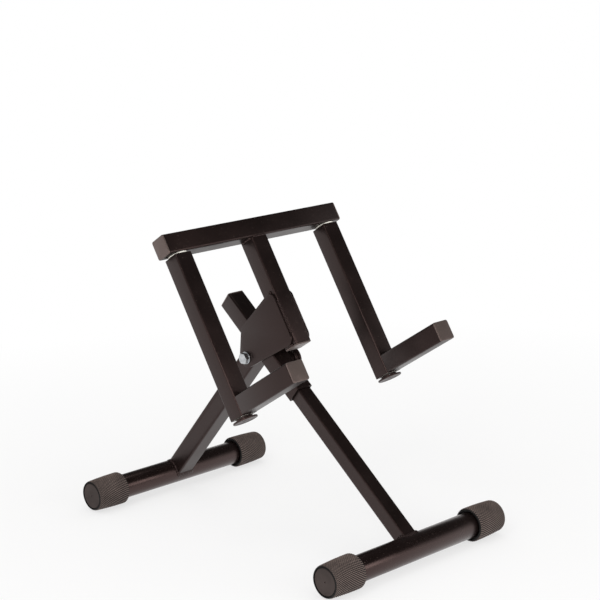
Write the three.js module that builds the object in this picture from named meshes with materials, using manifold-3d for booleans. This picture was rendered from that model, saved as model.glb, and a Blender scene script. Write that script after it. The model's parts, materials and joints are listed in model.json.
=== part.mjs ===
// Folding tilt-back stand: two crossing T-shaped legs on round foot bars, and a leaning
// cradle with two L-shaped support brackets that swing inwards about their own uprights.
// Millimetres. +Z is up, +X is to the right, -Y is the front.
// The origin lies on the floor, midway between the two foot bars.
import * as THREE from 'three';
import { mergeVertices } from 'three/addons/utils/BufferGeometryUtils.js';
import Module from 'manifold-3d';

const wasm = await Module();
wasm.setup();

// ---------------------------------------------------------------- driving dimensions

// clearances
const weldGap = 0.3; // between two pieces that a weld or a push fit joins
const pinGap = 0.3; // round a bolt, a post or a plug
const slideGap = 0.5; // round the leg that slides in its sleeve
const stopGap = 0.3; // at the stop of the rear leg

// steel tube stock
const tubeSize = 25; // square tube of the cradle, the sleeve and the rear leg
const tubeWall = 2;
const tubeCorner = 2.4;
const legWall = 1.5; // wall of the smaller square tube that slides in the sleeve
const legCorner = 2;
const footDiameter = 32; // round tube of the foot bars
const footWall = 2;

// stance
const footSpacing = 441; // between the axes of the two foot bars
const crossingSetback = 251.3; // from the front foot bar back to where the legs' axes cross
const crossingRise = 209.8; // from the foot bars' axes up to that crossing
const footSpan = 293; // over the end caps

// rubber end caps
const capLength = 48;
const capMouthRadius = 21.4; // at the inner end
const capNoseRadius = 19.8; // at the outer end
const capEdgeRadius = 2.3; // round the outer end
const capLipEdge = 1.6; // round the mouth
const capLipWidth = 2.4; // of the raised ring round the mouth
const capMouthRecess = 2.4; // depth of the annular face inside that ring
const capEndWall = 5;
const capRimWidth = 3;
const capRecess = 1.4; // depth of the end face inside the rim

// sliding front leg and its sleeve, measured along the leg
const sleeveBelowCrossing = 84.8; // from the crossing down to the sleeve's lower end
const legInsertion = 118.5; // how far the leg reaches into the sleeve at rest
const legTravelIn = 30; // how much further in it can be pushed
const clampFromSleeveEnd = 52; // clamping screw above the sleeve's lower end

// cradle
const cradleTilt = 31.2; // degrees that the uprights lean back
const crossingAboveShelf = 68.8; // along the uprights, from the arms' upper faces
const crossingBehindFace = 70.1; // behind the uprights' front faces
const bracketSpacing = 246; // between the axes of the two uprights
const armReach = 109; // from the uprights' front faces to the tips of the arms
const backHeight = 213; // from the arms' upper faces to the top of the cross tube
const crossOverhang = 18; // cross tube beyond the uprights' axes
const spineFoot = 42.6; // lower end of the spine above the arms' upper faces

// posts that the brackets turn on
const bushWall = 1.9; // thinnest wall of the square bushes that the posts run in
const postWall = 2;
const postInsertLength = 26; // thick threaded end of the post
const bushLength = 18;
const topWasherThickness = 1.6;
const bracketEndGap = 0.3; // between the turning bracket and what it bears on

// plastic end plugs
const plugFlange = 2.6;
const plugBevel = 0.9;
const plugInsert = 9;

// hinge plates
const plateThickness = 3;
const plateSpineMargin = 10; // radius of the plate's corners on the spine
const plateSleeveRadius = 11;
const plateBoltRadius = 13;
const plateTopOnSpine = 104; // height of the upper corner's centre
const plateBottomOnSpine = 54;
const plateAlongSleeve = 20; // from the crossing up the sleeve to the plate's upper rear corner

// fasteners
const boltDiameter = 8;
const hexAcrossFlats = 13;
const boltHeadHeight = 5.3;
const nutHeight = 7.5;
const washerRadius = 8;
const washerThickness = 1.6;
const boltTip = 2.5; // thread beyond the nut
const bushRadius = 6; // steel bush through the rear leg

// clamping knobs
const knobRadius = 15.7;
const knobDisc = 2.5;
const knobEdge = 0.6; // chamfer of the disc
const knobHubInset = 2; // from the tube's faces in to the hub's edge
const knobHub = 2.6;
const knobScrewReach = 22; // threads above the knob's hub
const screwChamfer = 1;
const clampBossRadius = 8;
const clampBossLength = 8;

// numbers of flats on round pieces
const capSides = 24;
const roundSides = 24;
const smallSides = 16;
const cornerSides = 2;

// ---------------------------------------------------------------- derived places

const half = tubeSize / 2;
const boltHole = boltDiameter / 2 + pinGap; // radius of every hole for a bolt or a screw
const tubeBore = tubeSize - 2 * tubeWall;
const legSize = tubeBore - 2 * slideGap;
const plugSize = tubeBore - 2 * pinGap; // of a plug's insert or a bush in the square tubes
const postHole = plugSize / 2 - bushWall; // radius of the holes that the posts run through
const postRadius = postHole - pinGap;
const knobHubRadius = half - knobHubInset;
const footRadius = footDiameter / 2;
const footHeight = capMouthRadius;
const frontFootY = -footSpacing / 2;
const rearFootY = footSpacing / 2;
const frontElevation = Math.atan2(crossingRise, crossingSetback);
const rearElevation = Math.atan2(crossingRise, footSpacing - crossingSetback);
const rearCrossing = Math.hypot(crossingRise, footSpacing - crossingSetback);
const frontCrossing = Math.hypot(crossingRise, crossingSetback);
const sleeveStart = frontCrossing - sleeveBelowCrossing;
const legAngle = Math.PI - frontElevation - rearElevation;
const rearLean = legAngle - Math.PI / 2;
const tilt = THREE.MathUtils.degToRad(cradleTilt);

// the rear leg's square end stops against the sleeve's underside
const hingeOffset = half * (1 + Math.cos(rearLean) + Math.sin(Math.abs(rearLean))) + stopGap;
const rearReach = rearCrossing - hingeOffset / Math.sin(legAngle);
const sleeveLength = legInsertion + plugFlange + legTravelIn + stopGap + plugInsert;
const sleeveEnd = sleeveStart + sleeveLength;
const clampPlace = sleeveStart + clampFromSleeveEnd;
const footTubeHalf = footSpan / 2 - capEndWall - pinGap;

// cradle frame: y runs back from the uprights' front faces, z up from the arms' upper faces
const crossingY = frontFootY + crossingSetback;
const crossingZ = footHeight + crossingRise;
const cradleY = crossingY - crossingAboveShelf * Math.sin(tilt) - crossingBehindFace * Math.cos(tilt);
const cradleZ = crossingZ - crossingAboveShelf * Math.cos(tilt) + crossingBehindFace * Math.sin(tilt);
const bracketX = bracketSpacing / 2;
const crossTubeBottom = backHeight - tubeSize;
const uprightBottom = -tubeSize;
const uprightTop = crossTubeBottom - topWasherThickness - 2 * bracketEndGap;
const plateX = half + weldGap;

// ---------------------------------------------------------------- materials

function finish(color, roughness, metalness) {
  return new THREE.MeshStandardMaterial({ color, roughness, metalness });
}

const blackPowderCoat = finish(0x2c2625, 0.42, 0.15);
const blackFootTube = finish(0x1c1818, 0.3, 0.2);
const blackRubber = finish(0x46403e, 0.85, 0.0);
const greyPlastic = finish(0x3a3433, 0.6, 0.0);
const blackKnob = finish(0x241f1e, 0.45, 0.0);
const whiteNylon = finish(0xd8d5cc, 0.55, 0.0);
const zincSteel = finish(0xb4b6b8, 0.3, 0.9);

// ---------------------------------------------------------------- geometry helpers

/** Merges a geometry's points and turns its faces outwards. */
function closedGeometry(geometry) {
  const bare = geometry.index ? geometry.clone() : geometry;
  bare.deleteAttribute('normal');
  bare.deleteAttribute('uv');
  const merged = mergeVertices(bare, 1e-4);
  const index = merged.index.array;
  const place = merged.attributes.position;
  const a = new THREE.Vector3();
  const b = new THREE.Vector3();
  const c = new THREE.Vector3();
  const kept = [];
  let volume = 0;
  for (let i = 0; i < index.length; i += 3) {
    const [p, q, r] = [index[i], index[i + 1], index[i + 2]];
    if (p === q || q === r || r === p) continue;
    kept.push(p, q, r);
    a.fromBufferAttribute(place, p);
    b.fromBufferAttribute(place, q);
    c.fromBufferAttribute(place, r);
    volume += a.dot(b.cross(c));
  }
  if (volume < 0) kept.reverse();
  merged.setIndex(kept);
  return merged;
}

/** A solid for cutting and joining. */
function toSolid(geometry) {
  const closed = closedGeometry(geometry);
  return new wasm.Manifold(new wasm.Mesh({
    numProp: 3,
    vertProperties: new Float32Array(closed.attributes.position.array),
    triVerts: new Uint32Array(closed.index.array),
  }));
}

/** The geometry of a cut or joined solid. */
function fromSolid(solid) {
  const mesh = solid.getMesh();
  const geometry = new THREE.BufferGeometry();
  geometry.setAttribute('position', new THREE.BufferAttribute(new Float32Array(mesh.vertProperties), 3));
  geometry.setIndex(new THREE.BufferAttribute(new Uint32Array(mesh.triVerts), 1));
  return geometry;
}

/** A geometry with other geometries cut out of it. */
function cut(geometry, ...cutters) {
  let solid = toSolid(geometry);
  for (const cutter of cutters) solid = solid.subtract(toSolid(cutter));
  return fromSolid(solid);
}

/** Several geometries joined into one body. */
function join(geometry, ...others) {
  let solid = toSolid(geometry);
  for (const other of others) solid = solid.add(toSolid(other));
  return fromSolid(solid);
}

/** Traces a rounded rectangle about the origin. */
function roundedRectangle(path, width, depth, radius) {
  const x = width / 2 - radius;
  const y = depth / 2 - radius;
  path.absarc(x, y, radius, 0, Math.PI / 2, false);
  path.absarc(-x, y, radius, Math.PI / 2, Math.PI, false);
  path.absarc(-x, -y, radius, Math.PI, 1.5 * Math.PI, false);
  path.absarc(x, -y, radius, 1.5 * Math.PI, 2 * Math.PI, false);
  path.closePath();
  return path;
}

/** An outline extruded along z, from z = 0. */
function extruded(outline, depth, curveSegments) {
  return new THREE.ExtrudeGeometry(outline, { depth, bevelEnabled: false, curveSegments });
}

/** A square steel tube of a given length along z, from z = 0. */
function squareTube(size, wall, corner, length) {
  const outline = roundedRectangle(new THREE.Shape(), size, size, corner);
  outline.holes.push(roundedRectangle(new THREE.Path(), size - 2 * wall, size - 2 * wall, corner - wall));
  return extruded(outline, length, cornerSides);
}

/** A solid square bar of a given length along z, from z = 0. */
function squareBar(size, corner, length) {
  const outline = roundedRectangle(new THREE.Shape(), size, size, corner);
  return extruded(outline, length, cornerSides);
}

/** A cylinder along z, centred at the origin. */
function uprightCylinder(radius, length, sides) {
  return new THREE.CylinderGeometry(radius, radius, length, sides).rotateX(Math.PI / 2);
}

/** A cylinder along x, centred at a place. */
function crosswiseCylinder(radius, length, sides, x, y, z) {
  return new THREE.CylinderGeometry(radius, radius, length, sides).rotateZ(Math.PI / 2).translate(x, y, z);
}

/** A body turned about the z axis from radius and height pairs. */
function turned(profile, sides) {
  const points = profile.map(([radius, height]) => new THREE.Vector2(radius, height));
  return new THREE.LatheGeometry(points, sides).rotateX(Math.PI / 2);
}

/** A round tube or ring along z. */
function ring(outer, inner, length, sides) {
  return turned([[inner, 0], [outer, 0], [outer, length], [inner, length], [inner, 0]], sides);
}

/** A hexagonal prism along z, from z = 0. */
function hexPrism(height) {
  const radius = hexAcrossFlats / Math.sqrt(3);
  return uprightCylinder(radius, height, 6).translate(0, 0, height / 2);
}

/** An end plug: a bevelled flange above z = 0 and an insert below it. */
function squarePlug(flangeSize, corner, insertSize) {
  const outline = roundedRectangle(
    new THREE.Shape(), flangeSize - 2 * plugBevel, flangeSize - 2 * plugBevel, corner - plugBevel);
  const cap = new THREE.ExtrudeGeometry(outline, {
    depth: plugFlange - 2 * plugBevel,
    bevelEnabled: true,
    bevelThickness: plugBevel,
    bevelSize: plugBevel,
    bevelSegments: 1,
    curveSegments: cornerSides,
  }).translate(0, 0, plugBevel);
  const insert = squareBar(insertSize, tubeWall / 2, plugInsert + plugBevel).translate(0, 0, -plugInsert);
  return join(cap, insert);
}

/** A flat plate whose outline rolls round a counterclockwise list of discs. */
function plateRoundDiscs(discs, thickness, holes) {
  const count = discs.length;
  const normals = discs.map((disc, i) => {
    const next = discs[(i + 1) % count];
    const [dx, dy] = [next.x - disc.x, next.y - disc.y];
    return Math.atan2(dy, dx) - Math.PI / 2 + Math.asin((disc.r - next.r) / Math.hypot(dx, dy));
  });
  const outline = new THREE.Shape();
  discs.forEach((disc, i) => {
    outline.absarc(disc.x, disc.y, disc.r, normals[(i + count - 1) % count], normals[i], false);
  });
  outline.closePath();
  for (const hole of holes) {
    outline.holes.push(new THREE.Path().absarc(hole.x, hole.y, hole.r, 0, 2 * Math.PI, true));
  }
  return extruded(outline, thickness, smallSides / 2);
}

// ---------------------------------------------------------------- scene graph helpers

/** Adds a named mesh to a group. */
function place(group, name, geometry, material, x = 0, y = 0, z = 0) {
  const mesh = new THREE.Mesh(closedGeometry(geometry), material);
  mesh.name = name;
  mesh.position.set(x, y, z);
  group.add(mesh);
  return mesh;
}

/** A group turned about x, at a place in the middle plane. */
function leaningGroup(parent, y, z, angle) {
  const group = new THREE.Group();
  group.position.set(0, y, z);
  group.rotation.x = angle;
  parent.add(group);
  return group;
}

const sides = [['left', -1], ['right', 1]];

// ---------------------------------------------------------------- foot bars

/** Rubber cap, its dished end face at z = 0 and its mouth at z = capLength. */
function endCap() {
  const bore = footRadius + pinGap;
  const rim = capNoseRadius - capRimWidth;
  const lip = capMouthRadius - capLipWidth;
  const edgeInset = capEdgeRadius * (1 - Math.SQRT1_2);
  const profile = [
    [0, capRecess],
    [rim - capRecess, capRecess],
    [rim, 0],
    [capNoseRadius - capEdgeRadius, 0],
    [capNoseRadius - edgeInset, edgeInset],
    [capNoseRadius, capEdgeRadius],
    [capMouthRadius, capLength - capLipEdge],
    [capMouthRadius - capLipEdge, capLength],
    [lip, capLength],
    [lip, capLength - capMouthRecess],
    [bore, capLength - capMouthRecess],
    [bore, capEndWall],
    [0, capEndWall],
  ];
  return turned(profile, capSides);
}

/** A round foot bar along x with its two end caps. */
function addFootBar(stand, y, prefix) {
  const group = leaningGroup(stand, y, footHeight, 0);
  const bar = ring(footRadius, footRadius - footWall, 2 * footTubeHalf, roundSides)
    .translate(0, 0, -footTubeHalf)
    .rotateY(Math.PI / 2);
  place(group, `${prefix}_foot_bar`, bar, blackFootTube);
  for (const [side, sign] of sides) {
    const cap = place(group, `${prefix}_end_cap_${side}`, endCap(), blackRubber, sign * footSpan / 2);
    cap.rotation.y = -sign * Math.PI / 2;
  }
}

/** What a foot bar removes from the leg that is welded on it. */
function footSaddle() {
  return crosswiseCylinder(footRadius + weldGap, 2 * tubeSize, roundSides, 0, 0, 0);
}

// ---------------------------------------------------------------- front leg

function addFrontLeg(stand) {
  addFootBar(stand, frontFootY, 'front');
  const group = leaningGroup(stand, frontFootY, footHeight, frontElevation - Math.PI / 2);
  const legLength = sleeveStart + legInsertion;
  const leg = squareTube(legSize, legWall, legCorner, legLength);
  place(group, 'front_leg_tube', cut(leg, footSaddle()), blackPowderCoat);
  const insertSize = legSize - 2 * legWall - 2 * pinGap;
  const guide = squarePlug(legSize, legCorner, insertSize);
  place(group, 'front_leg_plug', guide, greyPlastic, 0, 0, legLength + weldGap);
  return group;
}

/** Sleeve, its plug and the clamp, in the front leg's own directions. */
function addSleeve(group) {
  const screwHole = crosswiseCylinder(boltHole, half, smallSides, half, 0, clampFromSleeveEnd);
  const sleeve = cut(squareTube(tubeSize, tubeWall, tubeCorner, sleeveLength), screwHole);
  place(group, 'leg_sleeve', sleeve, blackPowderCoat, 0, 0, sleeveStart);
  place(group, 'sleeve_end_plug', squarePlug(tubeSize, tubeCorner, plugSize), greyPlastic,
    0, 0, sleeveEnd + weldGap);

  const boss = ring(clampBossRadius, boltHole, clampBossLength, smallSides);
  const bossStart = half + weldGap;
  const bossMesh = place(group, 'clamp_boss', boss, blackPowderCoat, bossStart, 0, clampPlace);
  bossMesh.rotation.y = Math.PI / 2;
  const hubStart = bossStart + clampBossLength + bracketEndGap;
  const screwTip = legSize / 2 + pinGap;
  addKnob(group, 'leg_clamp', hubStart - screwTip, [hubStart, 0, clampPlace], [0, Math.PI / 2, 0]);
}

// ---------------------------------------------------------------- knobs

/** A disc knob and its screw. The hub's face is at the place given, the screw runs the other way. */
function addKnob(group, name, reach, position, rotation) {
  const thread = boltDiameter / 2;
  const knobHeight = knobHub + knobDisc;
  const knob = turned([
    [0, knobHub],
    [thread + pinGap, knobHub],
    [thread + pinGap, 0],
    [knobHubRadius, 0],
    [knobHubRadius, knobHub],
    [knobRadius - knobEdge, knobHub],
    [knobRadius, knobHub + knobEdge],
    [knobRadius, knobHeight - knobEdge],
    [knobRadius - knobEdge, knobHeight],
    [0, knobHeight],
  ], roundSides);
  const screwFoot = knobHub - weldGap;
  const screw = turned([
    [0, -reach],
    [thread - screwChamfer, -reach],
    [thread, screwChamfer - reach],
    [thread, screwFoot],
    [0, screwFoot],
  ], smallSides);
  for (const [piece, geometry, material] of [['knob', knob, blackKnob], ['screw', screw, zincSteel]]) {
    const mesh = place(group, `${name}_${piece}`, geometry, material, ...position);
    mesh.rotation.set(...rotation);
  }
}

// ---------------------------------------------------------------- rear leg

function addRearLeg(stand) {
  addFootBar(stand, rearFootY, 'rear');
  const group = leaningGroup(stand, rearFootY, footHeight, Math.PI / 2 - rearElevation);
  const legTop = rearReach + half;
  const bushHole = crosswiseCylinder(bushRadius + pinGap, 2 * tubeSize, smallSides, 0, 0, rearReach);
  // the front corner of the leg's end is rounded about the bolt, the rear corner stays square as a stop
  const cornerBlock = new THREE.BoxGeometry(2 * tubeSize, tubeSize, tubeSize)
    .translate(0, -half, rearReach + half);
  const cornerRound = crosswiseCylinder(half, 3 * tubeSize, roundSides, 0, 0, rearReach);
  const cornerCut = cut(cornerBlock, cornerRound);
  const leg = cut(squareTube(tubeSize, tubeWall, tubeCorner, legTop), footSaddle(), bushHole, cornerCut);
  place(group, 'rear_leg_tube', leg, blackPowderCoat);
  const bush = ring(bushRadius, boltHole, tubeSize, smallSides).rotateY(Math.PI / 2);
  place(group, 'rear_leg_bush', bush, zincSteel, -half, 0, rearReach);
}

// ---------------------------------------------------------------- cradle

/** Where the hinge bolt lies in the cradle's own directions. */
function hingeInCradle() {
  const along = rearCrossing - rearReach;
  const world = { y: along * Math.cos(rearElevation), z: -along * Math.sin(rearElevation) };
  return {
    y: crossingBehindFace + world.y * Math.cos(tilt) - world.z * Math.sin(tilt),
    z: crossingAboveShelf + world.y * Math.sin(tilt) + world.z * Math.cos(tilt),
  };
}

function addHinge(group) {
  const bolt = hingeInCradle();
  const sleeveAngle = Math.PI / 2 - tilt - frontElevation;
  const sleeveCorner = {
    y: crossingBehindFace + plateAlongSleeve * Math.sin(sleeveAngle),
    z: crossingAboveShelf + plateAlongSleeve * Math.cos(sleeveAngle),
  };
  const discs = [
    { x: plateSpineMargin + tubeWall, y: plateBottomOnSpine, r: plateSpineMargin },
    { x: bolt.y, y: bolt.z, r: plateBoltRadius },
    { x: sleeveCorner.y, y: sleeveCorner.z, r: plateSleeveRadius },
    { x: plateSpineMargin + tubeWall, y: plateTopOnSpine, r: plateSpineMargin },
  ];
  const plateHole = { x: bolt.y, y: bolt.z, r: boltHole };
  // a plate's drawing plane is the cradle's y-z plane, and its thickness runs along x
  const toCradle = new THREE.Matrix4().makeBasis(
    new THREE.Vector3(0, 1, 0), new THREE.Vector3(0, 0, 1), new THREE.Vector3(1, 0, 0));
  for (const [side, sign] of sides) {
    const plate = plateRoundDiscs(discs, plateThickness, [plateHole]).applyMatrix4(toCradle);
    const start = sign > 0 ? plateX : -plateX - plateThickness;
    place(group, `hinge_plate_${side}`, plate, blackPowderCoat, start);
  }

  const plateFace = plateX + plateThickness;
  const headFace = plateFace + weldGap + washerThickness + weldGap;
  for (const [side, sign] of sides) {
    const washer = ring(washerRadius, boltHole, washerThickness, smallSides).rotateY(Math.PI / 2);
    const start = sign > 0 ? plateFace + weldGap : -plateFace - weldGap - washerThickness;
    place(group, `hinge_washer_${side}`, washer, zincSteel, start, bolt.y, bolt.z);
  }
  const shankLength = 2 * headFace + nutHeight + boltTip;
  const shank = uprightCylinder(boltDiameter / 2, shankLength, smallSides)
    .translate(0, 0, shankLength / 2 - weldGap);
  const head = hexPrism(boltHeadHeight).translate(0, 0, -boltHeadHeight);
  const hingeBolt = join(head, shank).rotateY(Math.PI / 2);
  place(group, 'hinge_bolt', hingeBolt, zincSteel, -headFace, bolt.y, bolt.z);
  const nut = cut(hexPrism(nutHeight), uprightCylinder(boltHole, 3 * nutHeight, smallSides))
    .rotateY(Math.PI / 2);
  place(group, 'hinge_nut', nut, zincSteel, headFace, bolt.y, bolt.z);
}

function addCradleFrame(group) {
  const spineLength = crossTubeBottom - weldGap - spineFoot;
  place(group, 'spine_tube', squareTube(tubeSize, tubeWall, tubeCorner, spineLength), blackPowderCoat,
    0, half, spineFoot);
  const plug = squarePlug(tubeSize, tubeCorner, plugSize);
  const spinePlug = place(group, 'spine_end_plug', plug, greyPlastic, 0, half, spineFoot - weldGap);
  spinePlug.rotation.x = Math.PI;

  const crossLength = bracketSpacing + 2 * crossOverhang;
  const crossTube = squareTube(tubeSize, tubeWall, tubeCorner, crossLength)
    .translate(0, 0, -crossLength / 2)
    .rotateY(Math.PI / 2);
  const postHoles = sides.map(
    ([, sign]) => uprightCylinder(postHole, tubeSize, roundSides).translate(sign * bracketX, 0, -half));
  const crossTubeZ = crossTubeBottom + half;
  place(group, 'cross_tube', cut(crossTube, ...postHoles), blackPowderCoat, 0, half, crossTubeZ);

  for (const [side, sign] of sides) {
    const endPlug = place(group, `cross_tube_plug_${side}`, plug, greyPlastic,
      sign * (crossLength / 2 + weldGap), half, crossTubeZ);
    endPlug.rotation.y = sign * Math.PI / 2;
    addPost(group, side, sign);
  }
}

/** A post that hangs from the cross tube, and the knob that clamps a bracket on it. */
function addPost(group, side, sign) {
  const inner = postRadius - postWall;
  const bottom = uprightBottom + bracketEndGap;
  const top = crossTubeBottom + tubeWall + tubeBore / 2;
  const insertTop = bottom + postInsertLength;
  const post = turned([
    [boltHole, bottom],
    [postRadius, bottom],
    [postRadius, top],
    [inner, top],
    [inner, insertTop],
    [boltHole, insertTop],
    [boltHole, bottom],
  ], roundSides);
  const x = sign * bracketX;
  place(group, `post_${side}`, post, blackPowderCoat, x, half, 0);
  const washer = ring(half, postHole, topWasherThickness, roundSides);
  place(group, `post_washer_${side}`, washer, whiteNylon, x, half, uprightTop + bracketEndGap);
  addKnob(group, `bracket_clamp_${side}`, knobScrewReach,
    [x, half, uprightBottom - bracketEndGap], [Math.PI, 0, 0]);
}

// ---------------------------------------------------------------- support brackets

/** An L-shaped bracket: an upright that turns on its post, and the arm welded to its foot. */
function addBracket(cradle, side, sign) {
  const group = new THREE.Group();
  group.position.set(sign * bracketX, 0, 0);
  cradle.add(group);
  const upright = squareTube(tubeSize, tubeWall, tubeCorner, uprightTop - uprightBottom);
  place(group, `upright_${side}`, upright, blackPowderCoat, 0, half, uprightBottom);

  const armTube = squareTube(tubeSize, tubeWall, tubeCorner, armReach - plugFlange - 2 * weldGap);
  const arm = place(group, `arm_${side}`, armTube, blackPowderCoat, 0, -weldGap, -half);
  arm.rotation.x = Math.PI / 2;
  const plug = squarePlug(tubeSize, tubeCorner, plugSize);
  const armPlug = place(group, `arm_plug_${side}`, plug, greyPlastic, 0, plugFlange - armReach, -half);
  armPlug.rotation.x = Math.PI / 2;

  const bush = cut(
    squareBar(plugSize, tubeWall, bushLength),
    uprightCylinder(postHole, 3 * bushLength, roundSides));
  const bushPlaces = [['lower', uprightBottom], ['upper', uprightTop - bushLength]];
  for (const [level, z] of bushPlaces) {
    place(group, `${level}_bush_${side}`, bush.clone(), whiteNylon, 0, half, z);
  }
}

// ---------------------------------------------------------------- assembly

function buildStand() {
  const stand = new THREE.Group();
  stand.name = 'folding_stand';
  const frontLeg = addFrontLeg(stand);
  addSleeve(frontLeg);
  addRearLeg(stand);
  const cradle = leaningGroup(stand, cradleY, cradleZ, -tilt);
  addCradleFrame(cradle);
  addHinge(cradle);
  for (const [side, sign] of sides) addBracket(cradle, side, sign);
  return stand;
}

export default buildStand();
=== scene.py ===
"""Folding tilt-back stand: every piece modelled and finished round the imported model.

Meshes are drawn in millimetres in a sub-assembly's own leaning directions, and each
piece is put in its place, in metres, when it is finished.
"""
import json
import logging
import math
from collections.abc import Callable
from dataclasses import dataclass, field
from enum import Enum

import bmesh
import bpy
from bmesh.types import BMEdge, BMesh, BMFace, BMVert
from mathutils import Matrix, Vector, noise
from mathutils.geometry import intersect_line_line


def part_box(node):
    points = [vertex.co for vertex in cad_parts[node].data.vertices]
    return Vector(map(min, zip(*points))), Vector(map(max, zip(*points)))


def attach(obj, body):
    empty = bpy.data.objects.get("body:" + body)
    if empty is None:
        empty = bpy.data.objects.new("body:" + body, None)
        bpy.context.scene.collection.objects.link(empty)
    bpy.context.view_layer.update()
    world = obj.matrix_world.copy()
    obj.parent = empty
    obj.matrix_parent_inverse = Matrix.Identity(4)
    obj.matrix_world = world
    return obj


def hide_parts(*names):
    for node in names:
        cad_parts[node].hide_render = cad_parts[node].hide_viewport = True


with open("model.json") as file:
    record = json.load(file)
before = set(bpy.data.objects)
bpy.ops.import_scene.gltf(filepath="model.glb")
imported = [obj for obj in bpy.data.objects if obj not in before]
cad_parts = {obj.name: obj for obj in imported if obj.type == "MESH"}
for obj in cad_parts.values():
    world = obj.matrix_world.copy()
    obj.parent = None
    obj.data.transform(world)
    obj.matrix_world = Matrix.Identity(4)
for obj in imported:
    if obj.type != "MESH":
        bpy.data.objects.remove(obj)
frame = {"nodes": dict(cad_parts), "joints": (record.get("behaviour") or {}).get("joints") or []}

LOG = logging.getLogger("stand")
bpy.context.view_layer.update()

MM = 0.001
FULL_TURN = 2 * math.pi
SHARP_ANGLE = math.radians(32)
MERGE_DISTANCE = 1e-4
Z_TO_X = Matrix.Rotation(math.pi / 2, 4, "Y")
Z_TO_FRONT = Matrix.Rotation(math.pi / 2, 4, "X")

Profile = list[tuple[float, float]]
Color = tuple[float, float, float, float]


# ---------------------------------------------------------------- places

class Side(Enum):
    """Left or right of the middle plane, as the sign of x."""

    LEFT = -1
    RIGHT = 1

    @property
    def word(self) -> str:
        """The side as it stands in the nodes' names."""
        return self.name.lower()


def leaning(origin: Vector, along: Vector) -> Matrix:
    """Directions of a leaning sub-assembly, from its own millimetres to metres.

    Args:
        origin: Place of its zero point, in metres.
        along: Its own z direction, square to x.

    Returns:
        The matrix that puts a drawn mesh in its place.
    """
    across = Vector((1, 0, 0))
    back = along.cross(across)
    turn = Matrix((across, back, along)).transposed().to_4x4()
    return Matrix.Translation(origin) @ turn @ Matrix.Scale(MM, 4)


def box_centre(node: str) -> Vector:
    """The middle of a node's box, in metres."""
    low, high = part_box(node)
    return (low + high) / 2


def joint(name: str) -> dict:
    """The record's entry for a joint."""
    return next(entry for entry in frame["joints"] if entry["name"] == name)


@dataclass(frozen=True)
class Reach:
    """Lowest and highest corners of a node in a sub-assembly's directions, in millimetres."""

    low: Vector
    high: Vector

    @classmethod
    def of(cls, node: str, place: Matrix) -> "Reach":
        """Measures a node.

        Args:
            node: The node's name.
            place: Directions to measure it in.

        Returns:
            Its reach.
        """
        inward = place.inverted()
        points = [inward @ vertex.co for vertex in frame["nodes"][node].data.vertices]
        return cls(
            Vector([min(point[axis] for point in points) for axis in range(3)]),
            Vector([max(point[axis] for point in points) for axis in range(3)]),
        )

    @property
    def centre(self) -> Vector:
        """The middle."""
        return (self.low + self.high) / 2

    @property
    def size(self) -> Vector:
        """The extent along each direction."""
        return self.high - self.low


class Places:
    """Directions of the stand's leaning sub-assemblies, worked out from joints and boxes."""

    def __init__(self) -> None:
        """Reads the leg slide, the hinge bolt and a bracket's axis."""
        self.front_leg = leaning(box_centre("front_foot_bar"), Vector(joint("front_leg_slide")["axis"]))
        rear_foot = box_centre("rear_foot_bar")
        hinge = Vector(joint("rear_leg_fold")["pos_m"])
        self.rear_leg = leaning(rear_foot, (hinge - rear_foot).normalized())
        swing = joint("bracket_left_swing")
        upward = Vector(swing["axis"])
        self.bracket_x = abs(swing["pos_m"][0]) / MM
        post = Vector((0, swing["pos_m"][1], swing["pos_m"][2]))
        self.cradle = leaning(post, upward)

    def bracket(self, side: Side) -> Matrix:
        """Directions of a bracket, with its post as the z axis."""
        return self.cradle @ Matrix.Translation((side.value * self.bracket_x, 0, 0))


# ---------------------------------------------------------------- drawing

def outline_square(half: float, corner: float) -> Callable[[float], float]:
    """Distance from the centre to a rounded square's edge, by direction.

    Args:
        half: Half the square's width.
        corner: Radius of its corners.

    Returns:
        A function from an angle to that distance.
    """
    inner = half - corner

    def reach(angle: float) -> float:
        """Distance to the edge at an angle."""
        c, s = abs(math.cos(angle)), abs(math.sin(angle))
        straight = half / max(c, s)
        if straight * min(c, s) <= inner:
            return straight
        toward = inner * (c + s)
        return toward + math.sqrt(max(0.0, toward ** 2 - 2 * inner ** 2 + corner ** 2))

    return reach


def outline_hexagon(half: float) -> Callable[[float], float]:
    """Distance from the centre to a hexagon's edge, by direction.

    Args:
        half: Half the width across flats.

    Returns:
        A function from an angle to that distance.
    """
    sector = FULL_TURN / 6

    def reach(angle: float) -> float:
        """Distance to the edge at an angle."""
        return half / math.cos(angle % sector - sector / 2)

    return reach


def tidy(bm: BMesh) -> BMesh:
    """Merges doubles and turns the faces of a closed mesh outwards."""
    bmesh.ops.remove_doubles(bm, verts=bm.verts[:], dist=MERGE_DISTANCE)
    bmesh.ops.recalc_face_normals(bm, faces=bm.faces[:])
    return bm


def ease(
    bm: BMesh, width: float, segments: int = 2, chosen: Callable[[BMEdge], bool] | None = None
) -> BMesh:
    """Rounds a mesh's sharp edges.

    Args:
        bm: The mesh.
        width: Width of the rounding.
        segments: Faces across it.
        chosen: Which of the sharp edges to round, or all of them.

    Returns:
        The same mesh.
    """
    edges = [
        edge for edge in bm.edges
        if len(edge.link_faces) == 2 and edge.calc_face_angle() > SHARP_ANGLE
        and (chosen is None or chosen(edge))
    ]
    bmesh.ops.bevel(
        bm, geom=edges, offset=width, offset_type="OFFSET", segments=segments,
        profile=0.5, affect="EDGES", clamp_overlap=True, material=-1)
    return bm


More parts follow.
